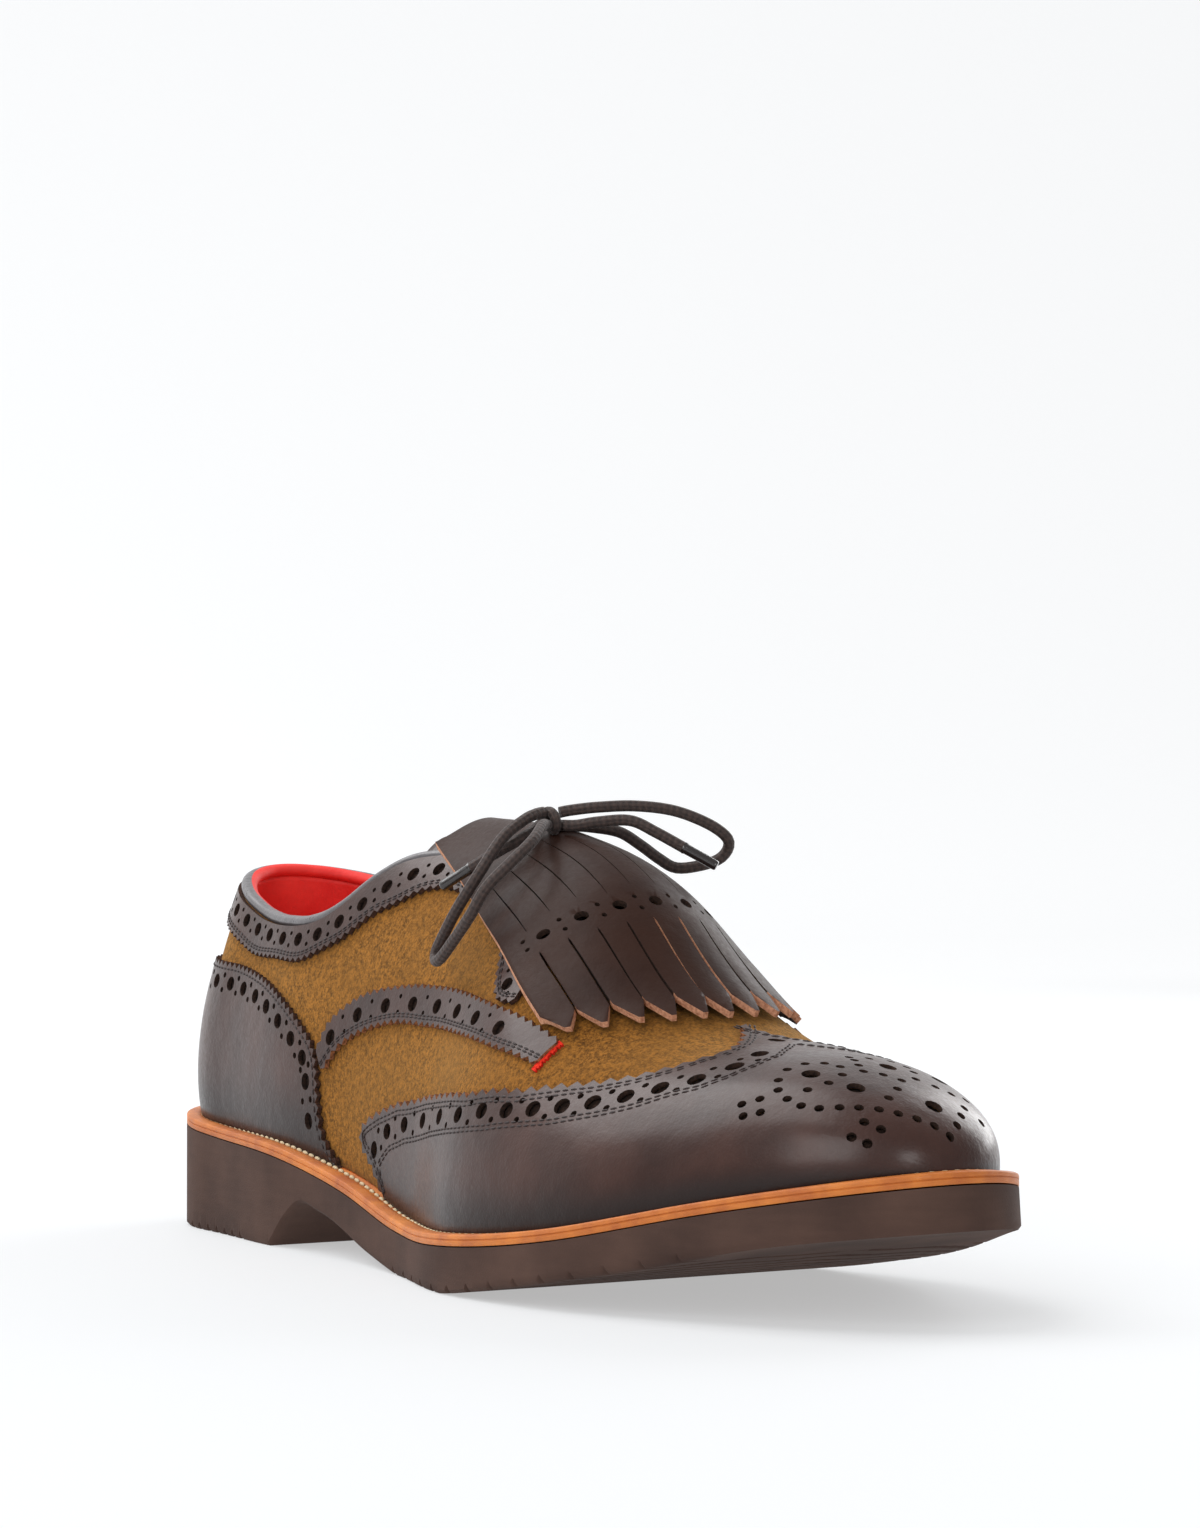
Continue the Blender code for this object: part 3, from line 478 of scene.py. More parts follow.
def smoothRoute(points, step):
    # an even run of points on a smooth curve through the given ones
    full = [points[0] * 2 - points[1]] + points + [points[-1] * 2 - points[-2]]
    fine = []
    for a, b, c, d in zip(full, full[1:], full[2:], full[3:]):
        for k in range(12):
            u = k / 12
            fine.append(0.5 * (2 * b + (c - a) * u + (2 * a - 5 * b + 4 * c - d) * u * u
                               + (3 * b - a - 3 * c + d) * u ** 3))
    fine.append(points[-1])
    fine = np.array(fine)
    lengths = np.concatenate(([0], np.cumsum(np.linalg.norm(np.diff(fine, axis=0), axis=1))))
    evenly = np.linspace(0, lengths[-1], max(3, round(lengths[-1] / step)) + 1)
    return np.stack([np.interp(evenly, lengths, fine[:, k]) for k in range(3)], -1)


def sweep(path, wide=1.0, tall=None, sides=14, up=None, closed=False, radii=None, shape=None):
    # a bar by extruding a ring along a path; the way and the turn go into its UV map
    path = np.asarray(path, float)
    if closed:
        path = np.concatenate((path, path[:1]))
    count = len(path)
    ahead = np.gradient(path, axis=0)
    if closed:
        ahead[0] = ahead[-1] = path[1] - path[-2]
    ahead = unit(ahead)
    tall = wide if tall is None else tall
    bm = bmesh.new()
    uv = bm.loops.layers.uv.new("UVMap")
    sides = sides if shape is None else len(shape)
    ring = bmesh.ops.create_circle(bm, cap_ends=False, segments=sides, radius=1)["verts"]
    spots = [v.co * 0.5 for v in ring] if shape is None else [Vector((x, y, 0)) for x, y in shape]
    rise = Vector((0.13, 0.21, 1)).normalized()
    lengths = np.concatenate(([0], np.cumsum(np.linalg.norm(np.diff(path, axis=0), axis=1))))
    wayAt, turnAt = {}, {}
    for k in range(count):
        if k:
            before = set(ring)
            joined = {e for v in ring for e in v.link_edges if e.other_vert(v) in before}
            new = bmesh.ops.extrude_edge_only(bm, edges=list(joined))["geom"]
            fresh = {}
            for element in new:
                if isinstance(element, bmesh.types.BMVert):
                    for edge in element.link_edges:
                        if edge.other_vert(element) in before:
                            fresh[edge.other_vert(element)] = element
            ring = [fresh[v] for v in ring]
        forward = Vector(ahead[k])
        if up is not None:
            rise = Vector(up[k % len(up)])
        across = forward.cross(rise).normalized()
        rise = across.cross(forward).normalized()
        scale = 1.0 if radii is None else float(radii[k])
        for i, (vert, spot) in enumerate(zip(ring, spots)):
            vert.co = Vector(path[k]) + scale * (across * (spot.x * wide) + rise * (spot.y * tall))
            wayAt[vert], turnAt[vert] = lengths[k], i
    if not closed:
        bmesh.ops.holes_fill(bm, edges=[e for e in bm.edges if e.is_boundary], sides=sides + 1)
    for face in bm.faces:
        turns = [turnAt[loop.vert] for loop in face.loops]
        wraps = max(turns) - min(turns) > sides / 2
        for loop, turn in zip(face.loops, turns):
            turn = turn + sides if wraps and turn < sides / 2 else turn
            loop[uv].uv = (wayAt[loop.vert], turn / sides)
    if closed:
        bmesh.ops.remove_doubles(bm, verts=bm.verts, dist=0.001 * mm)
    bmesh.ops.recalc_face_normals(bm, faces=bm.faces)
    return bm


# the bow: its knot's place on the last, and each cord's route in millimetres from the knot
bow = {
    "knotAlong": 0.5246, "knotPlace": -0.045, "knotLift": 10.2 * mm, "knotRadius": 2.1 * mm,
    "agletLength": 8 * mm, "aglet": 2.9 * mm, "braidStep": 1.1 * mm}
routes = {
    "near_loop": [
        (-2.2, 0.0, 2.0), (-4.6, -0.6, 1.6), (-8.4, -1.5, 0.2), (-15.2, -3.2, -4.0), (-22.0, -3.6, -12.6),
        (-24.1, 2.5, -20.6), (-24.2, 9.4, -27.6), (-24.2, 11.8, -30.6), (-25.2, 10.0, -32.4),
        (-26.3, 5.2, -31.2), (-26.5, -1.0, -27.0), (-26.8, -8.7, -21.4), (-25.3, -13.2, -15.2),
        (-20.6, -15.8, -9.6), (-14.0, -14.6, -4.6), (-8.0, -8.8, -1.4), (-4.4, -3.9, -0.8),
        (-2.2, -1.8, -1.0)],
    "far_loop": [
        (2.2, 0.0, 2.0), (4.6, -1.0, 2.5), (9.9, -4.2, 3.2), (18.1, -7.9, 3.5), (26.3, -11.7, 2.4),
        (33.4, -14.9, -0.5), (37.5, -16.8, -3.6), (38.9, -15.8, -6.2), (37.4, -14.2, -8.9),
        (33.4, -11.9, -10.5), (28.4, -9.4, -11.0), (24.6, -7.8, -8.8), (20.7, -6.1, -5.7),
        (16.3, -3.6, -2.6), (10.6, 0.2, -1.4), (5.2, 1.6, -1.1), (2.2, 1.8, -1.0)],
    "left_end": [
        (-2.2, 1.8, -1.0), (-4.6, 1.0, -2.4), (-8.4, -1.2, -3.8), (-12.3, 0.0, -6.0),
        (-15.4, 3.6, -8.6), (-17.6, 7.0, -10.9)],
    "right_end": [
        (2.2, -1.8, -1.0), (4.6, -3.8, -1.0), (8.4, -7.4, -0.2), (14.3, -11.8, 0.1),
        (18.8, -15.7, -2.6), (23.8, -20.0, -6.2)]}
knotMiddle = onLast(wayOf(bow["knotAlong"]), np.array(bow["knotPlace"]), bow["knotLift"])
turns = np.radians(np.linspace(-20, 400, 40))
knotPath = np.stack([np.linspace(-1.3, 1.3, 40) * mm, bow["knotRadius"] * np.cos(turns),
                     bow["knotRadius"] * np.sin(turns)], -1) + knotMiddle
knot = piece("lace_knot_wrap", sweep(knotPath, 2.7 * mm, 2.3 * mm), [brownLace], ["lace_knot"])
made = {}
for name, route in routes.items():
    path = smoothRoute([knotMiddle + np.array(p) * mm for p in route], bow["braidStep"])
    body = piece("lace_" + name + "_cord", sweep(path, last["lace"]), [brownLace],
                 ["lace_" + name])
    made[name] = (body, path)
for side in ("left", "right"):
    path = made[side + "_end"][1]
    ahead = unit(path[-1] - path[-2])
    start = path[-1] - ahead * 0.5 * mm
    steps = np.array([0, 0.6, 1.2, 4.0, 8.4, 9.0, 9.3]) * mm
    tube = sweep(start + ahead * steps[:, None], bow["aglet"], sides=16,
                 radii=[0.86, 1.0, 0.88, 0.86, 0.86, 0.84, 0.7])
    made[side + "_aglet"] = (piece("lace_" + side + "_aglet_tube", tube, [aglet],
                                   ["lace_" + side + "_aglet"]), path)
for name, extra in (("near_loop", ["left_end", "left_aglet"]), ("far_loop", ["right_end", "right_aglet"])):
    body, path = made[name]
    length = float(np.linalg.norm(np.diff(path, axis=0), axis=1).sum())
    parts = [made[key][0] for key in extra] + ([knot] if name == "near_loop" else [])
    tuple(path[0])
    [tuple(p) for p in path]
print("laces made")


# leather pieces are cut, punched and pinked flat, then laid on the last
flatWide = 0.1  # metres of flat pattern from the ridge to the sole
punchStretch = 1.15  # matched to the photo: its holes look rounder than round ones seen from this camera


class Trail:
    # a line on the last with its length, read at any distance and stepped aside in real millimetres
    def __init__(self, ways, places, count=500):
        ways, places = np.asarray(ways, float), np.asarray(places, float)
        rough = np.concatenate(([0], np.cumsum(np.hypot(np.diff(ways), np.diff(places) * flatWide))))
        even = np.linspace(0, rough[-1], count)
        self.way, self.place = np.interp(even, rough, ways), np.interp(even, rough, places)
        if len(ways) > 3:
            kernel = np.hanning(19) / np.hanning(19).sum()
            for name in ("way", "place"):
                values = getattr(self, name)
                padded = np.concatenate((2 * values[0] - values[9:0:-1], values,
                                         2 * values[-1] - values[-2:-11:-1]))
                setattr(self, name, np.convolve(padded, kernel, "valid"))
        points, self.out, self.alongWay, self.alongPlace = frameAt(self.way, self.place)
        self.lengths = np.concatenate(([0], np.cumsum(np.linalg.norm(np.diff(points, axis=0), axis=1))))
        self.total = float(self.lengths[-1])
        self.ahead = unit(np.gradient(points, axis=0))
        self.aside = unit(np.cross(self.out, self.ahead))
        self.flatAhead = self.flatten(self.ahead)
        self.flatAside = self.flatten(self.aside)

    def flatten(self, v):
        a, b = self.alongWay, self.alongPlace
        aa, ab, bb = (a * a).sum(-1), (a * b).sum(-1), (b * b).sum(-1)
        va, vb = (v * a).sum(-1), (v * b).sum(-1)
        det = np.maximum(aa * bb - ab * ab, 1e-12)
        return np.stack([(va * bb - vb * ab) / det, (vb * aa - va * ab) / det * flatWide], -1)

    def pick(self, values, at):
        return np.stack([np.interp(at, self.lengths, values[:, k]) for k in range(values.shape[1])], -1)

    def flat(self, at, aside=0.0):
        base = np.stack([self.way, self.place * flatWide], -1)
        return self.pick(base, at) + self.pick(self.flatAside, at) * np.asarray(aside)[..., None]

    def hole(self, at, aside, radius, segments=12):
        # a punched circle, drawn longer along the shoe to match the photo
        x, y = self.flat(np.array([at]), np.array([aside]))[0]
        a, b = self.pick(self.flatAhead, np.array([at]))[0], self.pick(self.flatAside, np.array([at]))[0]
        a = a * punchStretch
        turn = Matrix(((a[0], b[0], 0, x), (a[1], b[1], 0, y), (0, 0, 1, 0), (0, 0, 0, 1)))
        return (radius, segments, turn)


def pinked(trail, pitch, depth):
    # saw teeth whose tips lie on the line and whose roots lie aside from it
    count = max(2, round(trail.total / pitch)) * 2
    at = np.linspace(0, trail.total, count + 1)
    return trail.flat(at, np.where(np.arange(count + 1) % 2 == 1, 0.0, depth))


def plain(trail, step=2.5 * mm):
    return trail.flat(np.linspace(0, trail.total, max(2, round(trail.total / step)) + 1))


punched = []  # every hole punched in the pieces that lie on the last


def makeHoleShade():
    # dark discs laid behind the punching, seen only through the holes: painted shade inside the holes
    bm = bmesh.new()
    for radius, segments, turn in punched:
        disc = bmesh.ops.create_circle(bm, cap_ends=True, segments=10, radius=radius * 1.25, matrix=turn)
        for vert in disc["verts"]:
            vert.co.z = 0
    bmesh.ops.triangulate(bm, faces=bm.faces)
    lay(bm, 0.1 * mm)
    if sum(f.normal.z for f in bm.faces) < 0:
        bmesh.ops.reverse_faces(bm, faces=bm.faces)
    piece("punched_hole_shade", bm, [shadedHoleCut], (), 60, [
        ("SOLIDIFY", {"thickness": 0.06 * mm, "offset": 1.0})])


def cutFlat(edge, holes, gridX, gridY, thickness, soften=0.22 * mm):
    # fill the outline around its holes, slice it fine enough to bend, thicken it and soften its top edge
    # material 1 is the cut edge of the outline, 2 the wall of a hole
    bm = bmesh.new()
    kept = [edge[0]]
    for point in edge[1:]:
        if np.hypot(*(point - kept[-1])) > 0.02 * mm:
            kept.append(point)
    if np.hypot(*(kept[0] - kept[-1])) < 0.02 * mm:
        kept.pop()
    verts = [bm.verts.new((x, y, 0)) for x, y in kept]
    for a, b in zip(verts, verts[1:] + verts[:1]):
        bm.edges.new((a, b))
    for radius, segments, turn in holes:
        bmesh.ops.create_circle(bm, cap_ends=False, segments=segments, radius=radius, matrix=turn)
    bmesh.ops.triangle_fill(bm, use_beauty=True, use_dissolve=False, edges=bm.edges[:], normal=(0, 0, 1))
    for values, normal in ((gridX, Vector((1, 0, 0))), (gridY, Vector((0, 1, 0)))):
        for value in values:
            bmesh.ops.bisect_plane(bm, geom=bm.verts[:] + bm.edges[:] + bm.faces[:], dist=0.01 * mm,
                                   plane_co=normal * float(value), plane_no=normal)
    up = bmesh.ops.extrude_face_region(bm, geom=bm.faces[:], use_keep_orig=True)["geom"]
    up = [v for v in up if isinstance(v, bmesh.types.BMVert)]
    bmesh.ops.translate(bm, vec=(0, 0, thickness), verts=up)
    bmesh.ops.recalc_face_normals(bm, faces=bm.faces)
    if soften:
        rim = [e for e in bm.edges if len(e.link_faces) == 2 and e.verts[0].co.z > thickness / 2
               and e.verts[1].co.z > thickness / 2
               and abs(e.link_faces[0].normal.z - e.link_faces[1].normal.z) > 0.5]
        bmesh.ops.bevel(bm, geom=rim, offset=soften, offset_type="OFFSET", segments=1, profile=0.5,
                        affect="EDGES", clamp_overlap=True, material=-1)
    walls = [face for face in bm.faces if abs(face.normal.z) < 0.3]
    middles = np.array([face.calc_center_median()[:2] for face in walls])
    inHole = np.zeros(len(walls), bool)
    for radius, segments, turn in holes:
        flip = np.linalg.inv(np.array([[turn[0][0], turn[0][1]], [turn[1][0], turn[1][1]]]))
        off = np.hypot(*(flip @ (middles - (turn[0][3], turn[1][3])).T)) / radius
        inHole |= (off > 0.8) & (off < 1.06)
    for face, inside in zip(walls, inHole):
        face.material_index = 2 if inside else 1
    layer = bm.loops.layers.uv.new("UVMap")
    for face in bm.faces:
        for loop in face.loops:
            loop[layer].uv = (loop.vert.co.x, abs(loop.vert.co.y) / flatWide)
    return bm


def lay(bm, lift):
    return moved(bm, lambda x, y, z: onLast(x, y / flatWide, lift + z))


def overlay(node, bm, holes, lift, edge):
    punched.extend(holes)
    piece(node + "_leather", lay(bm, lift), [brownCalf, edge, shadedHoleCut], [node])


def gridLines(low, high, step):
    return np.arange(low + step / 2, high, step)


stitchRows = []  # trail, aside, stitch length, thread width, lift


def sew(trail, asides, lift, stitch=2.1 * mm, width=0.62 * mm):
    # rows of stitching beside a line, kept until all the leather lies on the last
    for aside in asides:
        stitchRows.append((trail, aside, stitch, width, lift + last["overlay"] + 0.02 * mm))


def stitchesOn(rows):
    for trail, aside, length, width, lift in rows:
        count = max(1, int(trail.total / length))
        at = (np.arange(count) + 0.5) * trail.total / count
        flat = trail.flat(at, np.full(count, aside))
        points = onLast(flat[:, 0], flat[:, 1] / flatWide, np.full(count, lift))
        ahead, out = unit(trail.pick(trail.ahead, at)), unit(trail.pick(trail.out, at))
        for p, a, o in zip(points, ahead, out):
            yield a * length * 0.9, np.cross(o, a) * width, o * width * 0.7, p


def broguing(trail, aside, pitch, big, small, spread, start, end, swell=(0.0, 0.0, 1.0)):
    # large holes along a line with a pair of small ones between them
    # swell widens the pitch at one place to match the photo: by how much, where and over what share
    count = max(1, int((end - start) / pitch))
    steps = 1 + swell[0] * np.exp(-(((np.arange(2 * count) / (2 * count)) - swell[1]) / swell[2]) ** 2)
    places = start + (end - start) * np.concatenate(([0], np.cumsum(steps))) / steps.sum()
    holes = []
    for k in range(count):
        holes.append(trail.hole(places[2 * k + 1], aside, big / 2, 14))
        if k < count - 1:
            for step in (-spread, spread):
                holes.append(trail.hole(places[2 * k + 2], aside + step, small / 2, 8))
    return holes


def lineOf(rows, side=1):
    # a line given as shares along the shoe and places between ridge and sole
    return Trail(wayOf([along for along, place in rows]), side * np.array([place for along, place in rows]))


def roundHole(along, place, size, segments):
    spot = Trail(wayOf([along - 0.004, along + 0.004]), np.array([place, place]), count=8)
    return spot.hole(spot.total / 2, 0.0, size / 2, segments)


# collar band, from the front of one side round the heel to the other
band = curves("along start width", [
    (0.016, 0.002, 0.085), (0.056, 0.002, 0.082), (0.107, 0.002, 0.078), (0.153, 0.002, 0.081),
    (0.207, 0.002, 0.074), (0.258, 0.002, 0.087), (0.288, 0.002, 0.088), (0.321, 0.002, 0.121),
    (0.349, 0.002, 0.135), (0.375, 0.002, 0.150), (0.401, 0.002, 0.130), (0.430, 0.002, 0.130),
    (0.480, 0.002, 0.170), (0.530, 0.002, 0.215), (0.558, 0.002, 0.275), (0.572, 0.002, 0.335),
    (0.583, 0.010, 0.383), (0.600, 0.040, 0.390), (0.615, 0.120, 0.400)])
bandHoles = curves("along place", [
    (0.016, 0.470), (0.050, 0.494), (0.109, 0.538), (0.130, 0.550), (0.154, 0.562), (0.185, 0.569),
    (0.219, 0.570), (0.249, 0.562), (0.278, 0.536), (0.305, 0.490), (0.332, 0.424), (0.360, 0.345),
    (0.392, 0.272), (0.430, 0.228), (0.480, 0.205), (0.540, 0.215), (0.600, 0.260)])
collarBand = {"front": 0.615, "pitch": 2.9 * mm, "tooth": 1.1 * mm, "bigHole": 3.5 * mm,
              "smallHole": 1.2 * mm, "holePitch": 8.9 * mm, "spread": 1.55 * mm,
              "seams": (1.6 * mm, 2.3 * mm), "holesFront": 0.560, "endHole": 6 * mm}
# along, place and size in mm of the holes in the eyestay's drop
eyestayHoles = [(0.596, 0.425, 3.3), (0.588, 0.400, 1.1), (0.589, 0.445, 1.1), (0.603, 0.440, 1.1)]


def roundHeel(front, value, count=260):
    # shares and places from the outer side's front, back round the heel, to the inner side's front
    ways = np.linspace(wayOf(front), -wayOf(front), count)
    shares = shareOf(np.abs(ways))
    lateral, medial = value(shares, "lateral"), value(shares, "medial")
    mix = np.clip(ways / (12 * mm) * 0.5 + 0.5, 0, 1)
    return ways, -(medial + (lateral - medial) * mix)


def makeCollarBand():
    top = Trail(*roundHeel(collarBand["front"],
                           lambda s, side: read(opening, side, s) + read(band, "start", s)))
    low = Trail(*roundHeel(collarBand["front"],
                           lambda s, side: read(opening, side, s) + read(band, "width", s)))
    edge = np.concatenate([plain(top), pinked(low, collarBand["pitch"], -collarBand["tooth"])[::-1]])
    line = Trail(*roundHeel(collarBand["holesFront"], lambda s, side: read(bandHoles, "place", s)
                            - read(opening, "lateral", s) + read(opening, side, s)))
    holes = broguing(line, 0.0, collarBand["holePitch"], collarBand["bigHole"], collarBand["smallHole"],
                     collarBand["spread"], collarBand["endHole"], line.total - collarBand["endHole"])
    for side in (-1, 1):
        holes += [roundHole(along, side * place, size * mm, 12) for along, place, size in eyestayHoles]
    sign = insideOf(low, top)
    sew(low, [aside * sign for aside in collarBand["seams"]], last["gap"])
    reach = float(wayOf(collarBand["front"]))
    bm = cutFlat(edge, holes, gridLines(-reach, reach, 2.4 * mm),
                 gridLines(-0.9 * flatWide, -0.05 * flatWide, 2.6 * mm), last["overlay"])
    overlay("collar_band", bm, holes, last["gap"], darkCut)


def insideOf(trail, other):
    # +1 where the other line lies on the positive side
    a = trail.flat(np.array([trail.total / 2]))[0]
    b = trail.flat(np.array([trail.total / 2]), np.array([1 * mm]))[0]
    middle = np.stack([other.way, other.place * flatWide], -1)
    return 1.0 if np.hypot(*(middle - b).T).min() < np.hypot(*(middle - a).T).min() else -1.0


makeCollarBand()
print("collar band made")


# heel counter
counter = curves("along place", [
    (0.016, 0.625), (0.045, 0.630), (0.089, 0.636), (0.138, 0.640), (0.172, 0.650), (0.205, 0.665),
    (0.236, 0.688), (0.262, 0.712), (0.287, 0.742), (0.303, 0.770), (0.311, 0.815), (0.314, 0.870),
    (0.318, 0.925), (0.328, 0.960), (0.345, 0.985)])
heelCounter = {"front": 0.345, "pitch": 2.9 * mm, "tooth": 1.4 * mm, "bigHole": 3.7 * mm,
               "smallHole": 1.5 * mm, "holePitch": 9.2 * mm, "holeAside": 5.4 * mm, "spread": 1.9 * mm,
               "seams": (1.9 * mm, 9.0 * mm), "endHole": 9 * mm}


def makeCounter():
    top = Trail(*roundHeel(heelCounter["front"], lambda s, side: read(counter, "place", s)))
    low = Trail(*roundHeel(heelCounter["front"], lambda s, side: np.ones_like(s)), count=300)
    sign = insideOf(top, low)
    edge = np.concatenate([pinked(top, heelCounter["pitch"], heelCounter["tooth"] * sign),
                           plain(low)[::-1]])
    holes = broguing(top, heelCounter["holeAside"] * sign, heelCounter["holePitch"], heelCounter["bigHole"],
                     heelCounter["smallHole"], heelCounter["spread"], heelCounter["endHole"],
                     top.total - heelCounter["endHole"])
    sew(top, [aside * sign for aside in heelCounter["seams"]], last["gap"])
    reach = float(wayOf(heelCounter["front"]))
    bm = cutFlat(edge, holes, gridLines(-reach, reach, 2.4 * mm),
                 gridLines(-flatWide, -0.6 * flatWide, 2.4 * mm), last["overlay"])
    overlay("heel_counter", bm, holes, last["gap"], darkCut)


makeCounter()
print("counter made")

# straps from the counter to the front tab
strapRows = curves("row along_top place_top along_low place_low", [
    (-0.03, 0.3045, 0.770, 0.3190, 0.812), (0.00, 0.308, 0.757, 0.323, 0.800),
    (0.08, 0.317, 0.712, 0.334, 0.764),
    (0.18, 0.340, 0.658, 0.351, 0.728), (0.29, 0.371, 0.606, 0.381, 0.682),
    (0.41, 0.413, 0.557, 0.426, 0.630), (0.54, 0.460, 0.519, 0.478, 0.600),
    (0.68, 0.520, 0.499, 0.553, 0.580), (0.82, 0.585, 0.481, 0.617, 0.561),
    (0.92, 0.630, 0.457, 0.655, 0.545), (1.00, 0.680, 0.436, 0.674, 0.537)])
strap = {"pitch": 3.1 * mm, "tooth": 1.2 * mm, "bigHole": 3.7 * mm, "smallHole": 1.2 * mm,
         "holePitch": 12.2 * mm, "spread": 1.9 * mm, "seams": (1.8 * mm, 2.5 * mm), "rear": -0.03,
         "rearHole": 1 * mm, "frontHole": 13 * mm}  # how far the holes stop from each end


def makeStrap(name, side):
    rows = np.linspace(strap["rear"], 1, 82)
    ends = [(read(strapRows, "along_" + k, rows), side * read(strapRows, "place_" + k, rows))
            for k in ("top", "low")]
    top, low = [Trail(wayOf(along), place) for along, place in ends]
    middle = Trail(wayOf((ends[0][0] + ends[1][0]) / 2), (ends[0][1] + ends[1][1]) / 2)
    sign = insideOf(top, low)
    edge = np.concatenate([pinked(top, strap["pitch"], strap["tooth"] * sign),
                           pinked(low, strap["pitch"], -strap["tooth"] * sign)[::-1]])
    holes = broguing(middle, 0.0, strap["holePitch"], strap["bigHole"], strap["smallHole"],
                     strap["spread"], strap["rearHole"], middle.total - strap["frontHole"])
    sew(top, [aside * sign for aside in strap["seams"]], last["gap"])
    sew(low, [-aside * sign for aside in strap["seams"]], last["gap"])
    bm = cutFlat(edge, holes, gridLines(wayOf(0.3), wayOf(0.69), 2.4 * mm),
                 gridLines(min(0, side) * 0.9 * flatWide, max(0, side) * 0.9 * flatWide, 2.4 * mm),
                 last["overlay"])
    overlay(name, bm, holes, last["gap"], rawCalf)


def makeStrapLining(name, side):
    # the red lining shows as a frayed line at the strap's front end
    (a, p), (b, q) = [(read(strapRows, "along_" + k, 1.0), side * read(strapRows, "place_" + k, 1.0))
                      for k in ("top", "low")]
    u = np.linspace(0.04, 1.12, 24)
    line = Trail(wayOf(a + (b - a) * u), p + (q - p) * u, count=60)
    at = np.linspace(0, line.total, 24)
    fray = (0.9 + 0.35 * np.sin(np.arange(24) * 2.6) + 0.2 * np.sin(np.arange(24) * 1.1)) * mm
    beside, start = line.flat(np.zeros(1), np.array([mm])), line.flat(np.zeros(1))
    ahead = 1.0 if beside[0, 0] > start[0, 0] else -1.0
    edge = np.concatenate([line.flat(at, np.full(24, -0.5 * mm * ahead)),
                           line.flat(at, fray * ahead)[::-1]])
    bm = cutFlat(edge, [], gridLines(wayOf(0.66), wayOf(0.70), 2.0 * mm),
                 gridLines(-flatWide, flatWide, 2.0 * mm), 0.7 * mm, soften=0)
    piece(name + "_lining_edge", lay(bm, 0.06 * mm), [rawRed, rawRed], ())


for name, side in (("lateral_strap", -1), ("medial_strap", 1)):
    makeStrap(name, side)
    makeStrapLining(name, side)
print("straps made")

# wing cap
wingEdge = [(0.430, 1.000), (0.410, 0.949), (0.390, 0.927), (0.386, 0.888), (0.391, 0.870), (0.401, 0.849),
            (0.422, 0.814), (0.458, 0.765), (0.519, 0.720), (0.611, 0.672), (0.673, 0.611), (0.708, 0.547),
            (0.739, 0.488), (0.765, 0.418), (0.786, 0.331), (0.797, 0.218), (0.788, 0.130), (0.772, 0.070),
            (0.757, 0.028), (0.744, 0.000)]
wingHoles = [(0.413, 0.945), (0.419, 0.893), (0.440, 0.845), (0.467, 0.809), (0.534, 0.762), (0.607, 0.726),
             (0.680, 0.668), (0.740, 0.590), (0.790, 0.500), (0.821, 0.417), (0.834, 0.278), (0.820, 0.110)]
wingSeam = [(0.440, 0.985), (0.428, 0.930), (0.449, 0.876), (0.480, 0.838), (0.543, 0.796), (0.606, 0.766),
            (0.650, 0.742), (0.720, 0.676), (0.790, 0.580), (0.830, 0.477), (0.842, 0.390), (0.846, 0.280),
            (0.841, 0.150), (0.822, 0.040), (0.812, 0.000)]
wingCap = {"lift": 0.54 * mm, "pitch": 4.2 * mm, "tooth": 1.5 * mm, "bigHole": 3.8 * mm,
           "smallHole": 1.5 * mm, "holePitch": 9.4 * mm, "spread": 2.2 * mm, "swell": (0.7, 0.24, 0.13),
           "rimSeams": (2.2 * mm, 3.3 * mm), "innerSeams": (0, -1.0 * mm), "peakHole": 0.790,
           "roseLarge": 3.7 * mm, "roseSmall": 1.9 * mm}
# punched rose on the toe: along and place of each hole
roseLarge = [(0.889, -0.248), (0.922, -0.214), (0.894, 0.095), (0.954, 0.077), (0.902, 0.344)]
roseSmall = [
    (0.871, -0.179), (0.878, -0.124), (0.889, -0.104), (0.869, 0.017), (0.878, 0.006), (0.872, 0.091),
    (0.890, -0.024), (0.902, -0.055), (0.902, -0.161), (0.907, -0.267), (0.904, -0.372), (0.871, -0.264),
    (0.879, -0.359), (0.888, -0.428), (0.900, -0.473), (0.912, -0.495), (0.923, -0.479), (0.932, -0.422),
    (0.940, -0.363), (0.948, -0.297), (0.956, -0.235), (0.963, -0.157), (0.969, -0.057), (0.974, 0.080),
    (0.910, 0.004), (0.920, 0.053), (0.932, -0.033), (0.941, -0.151), (0.887, 0.214), (0.900, 0.202),
    (0.916, 0.149), (0.925, 0.228), (0.931, 0.313), (0.929, 0.431), (0.948, 0.357), (0.959, 0.293),
    (0.968, 0.217), (0.874, 0.183), (0.874, -0.553), (0.881, -0.619), (0.883, -0.507), (0.891, -0.587),
    (0.950, -0.471), (0.959, -0.480), (0.950, -0.635), (0.958, -0.662), (0.954, 0.524)]


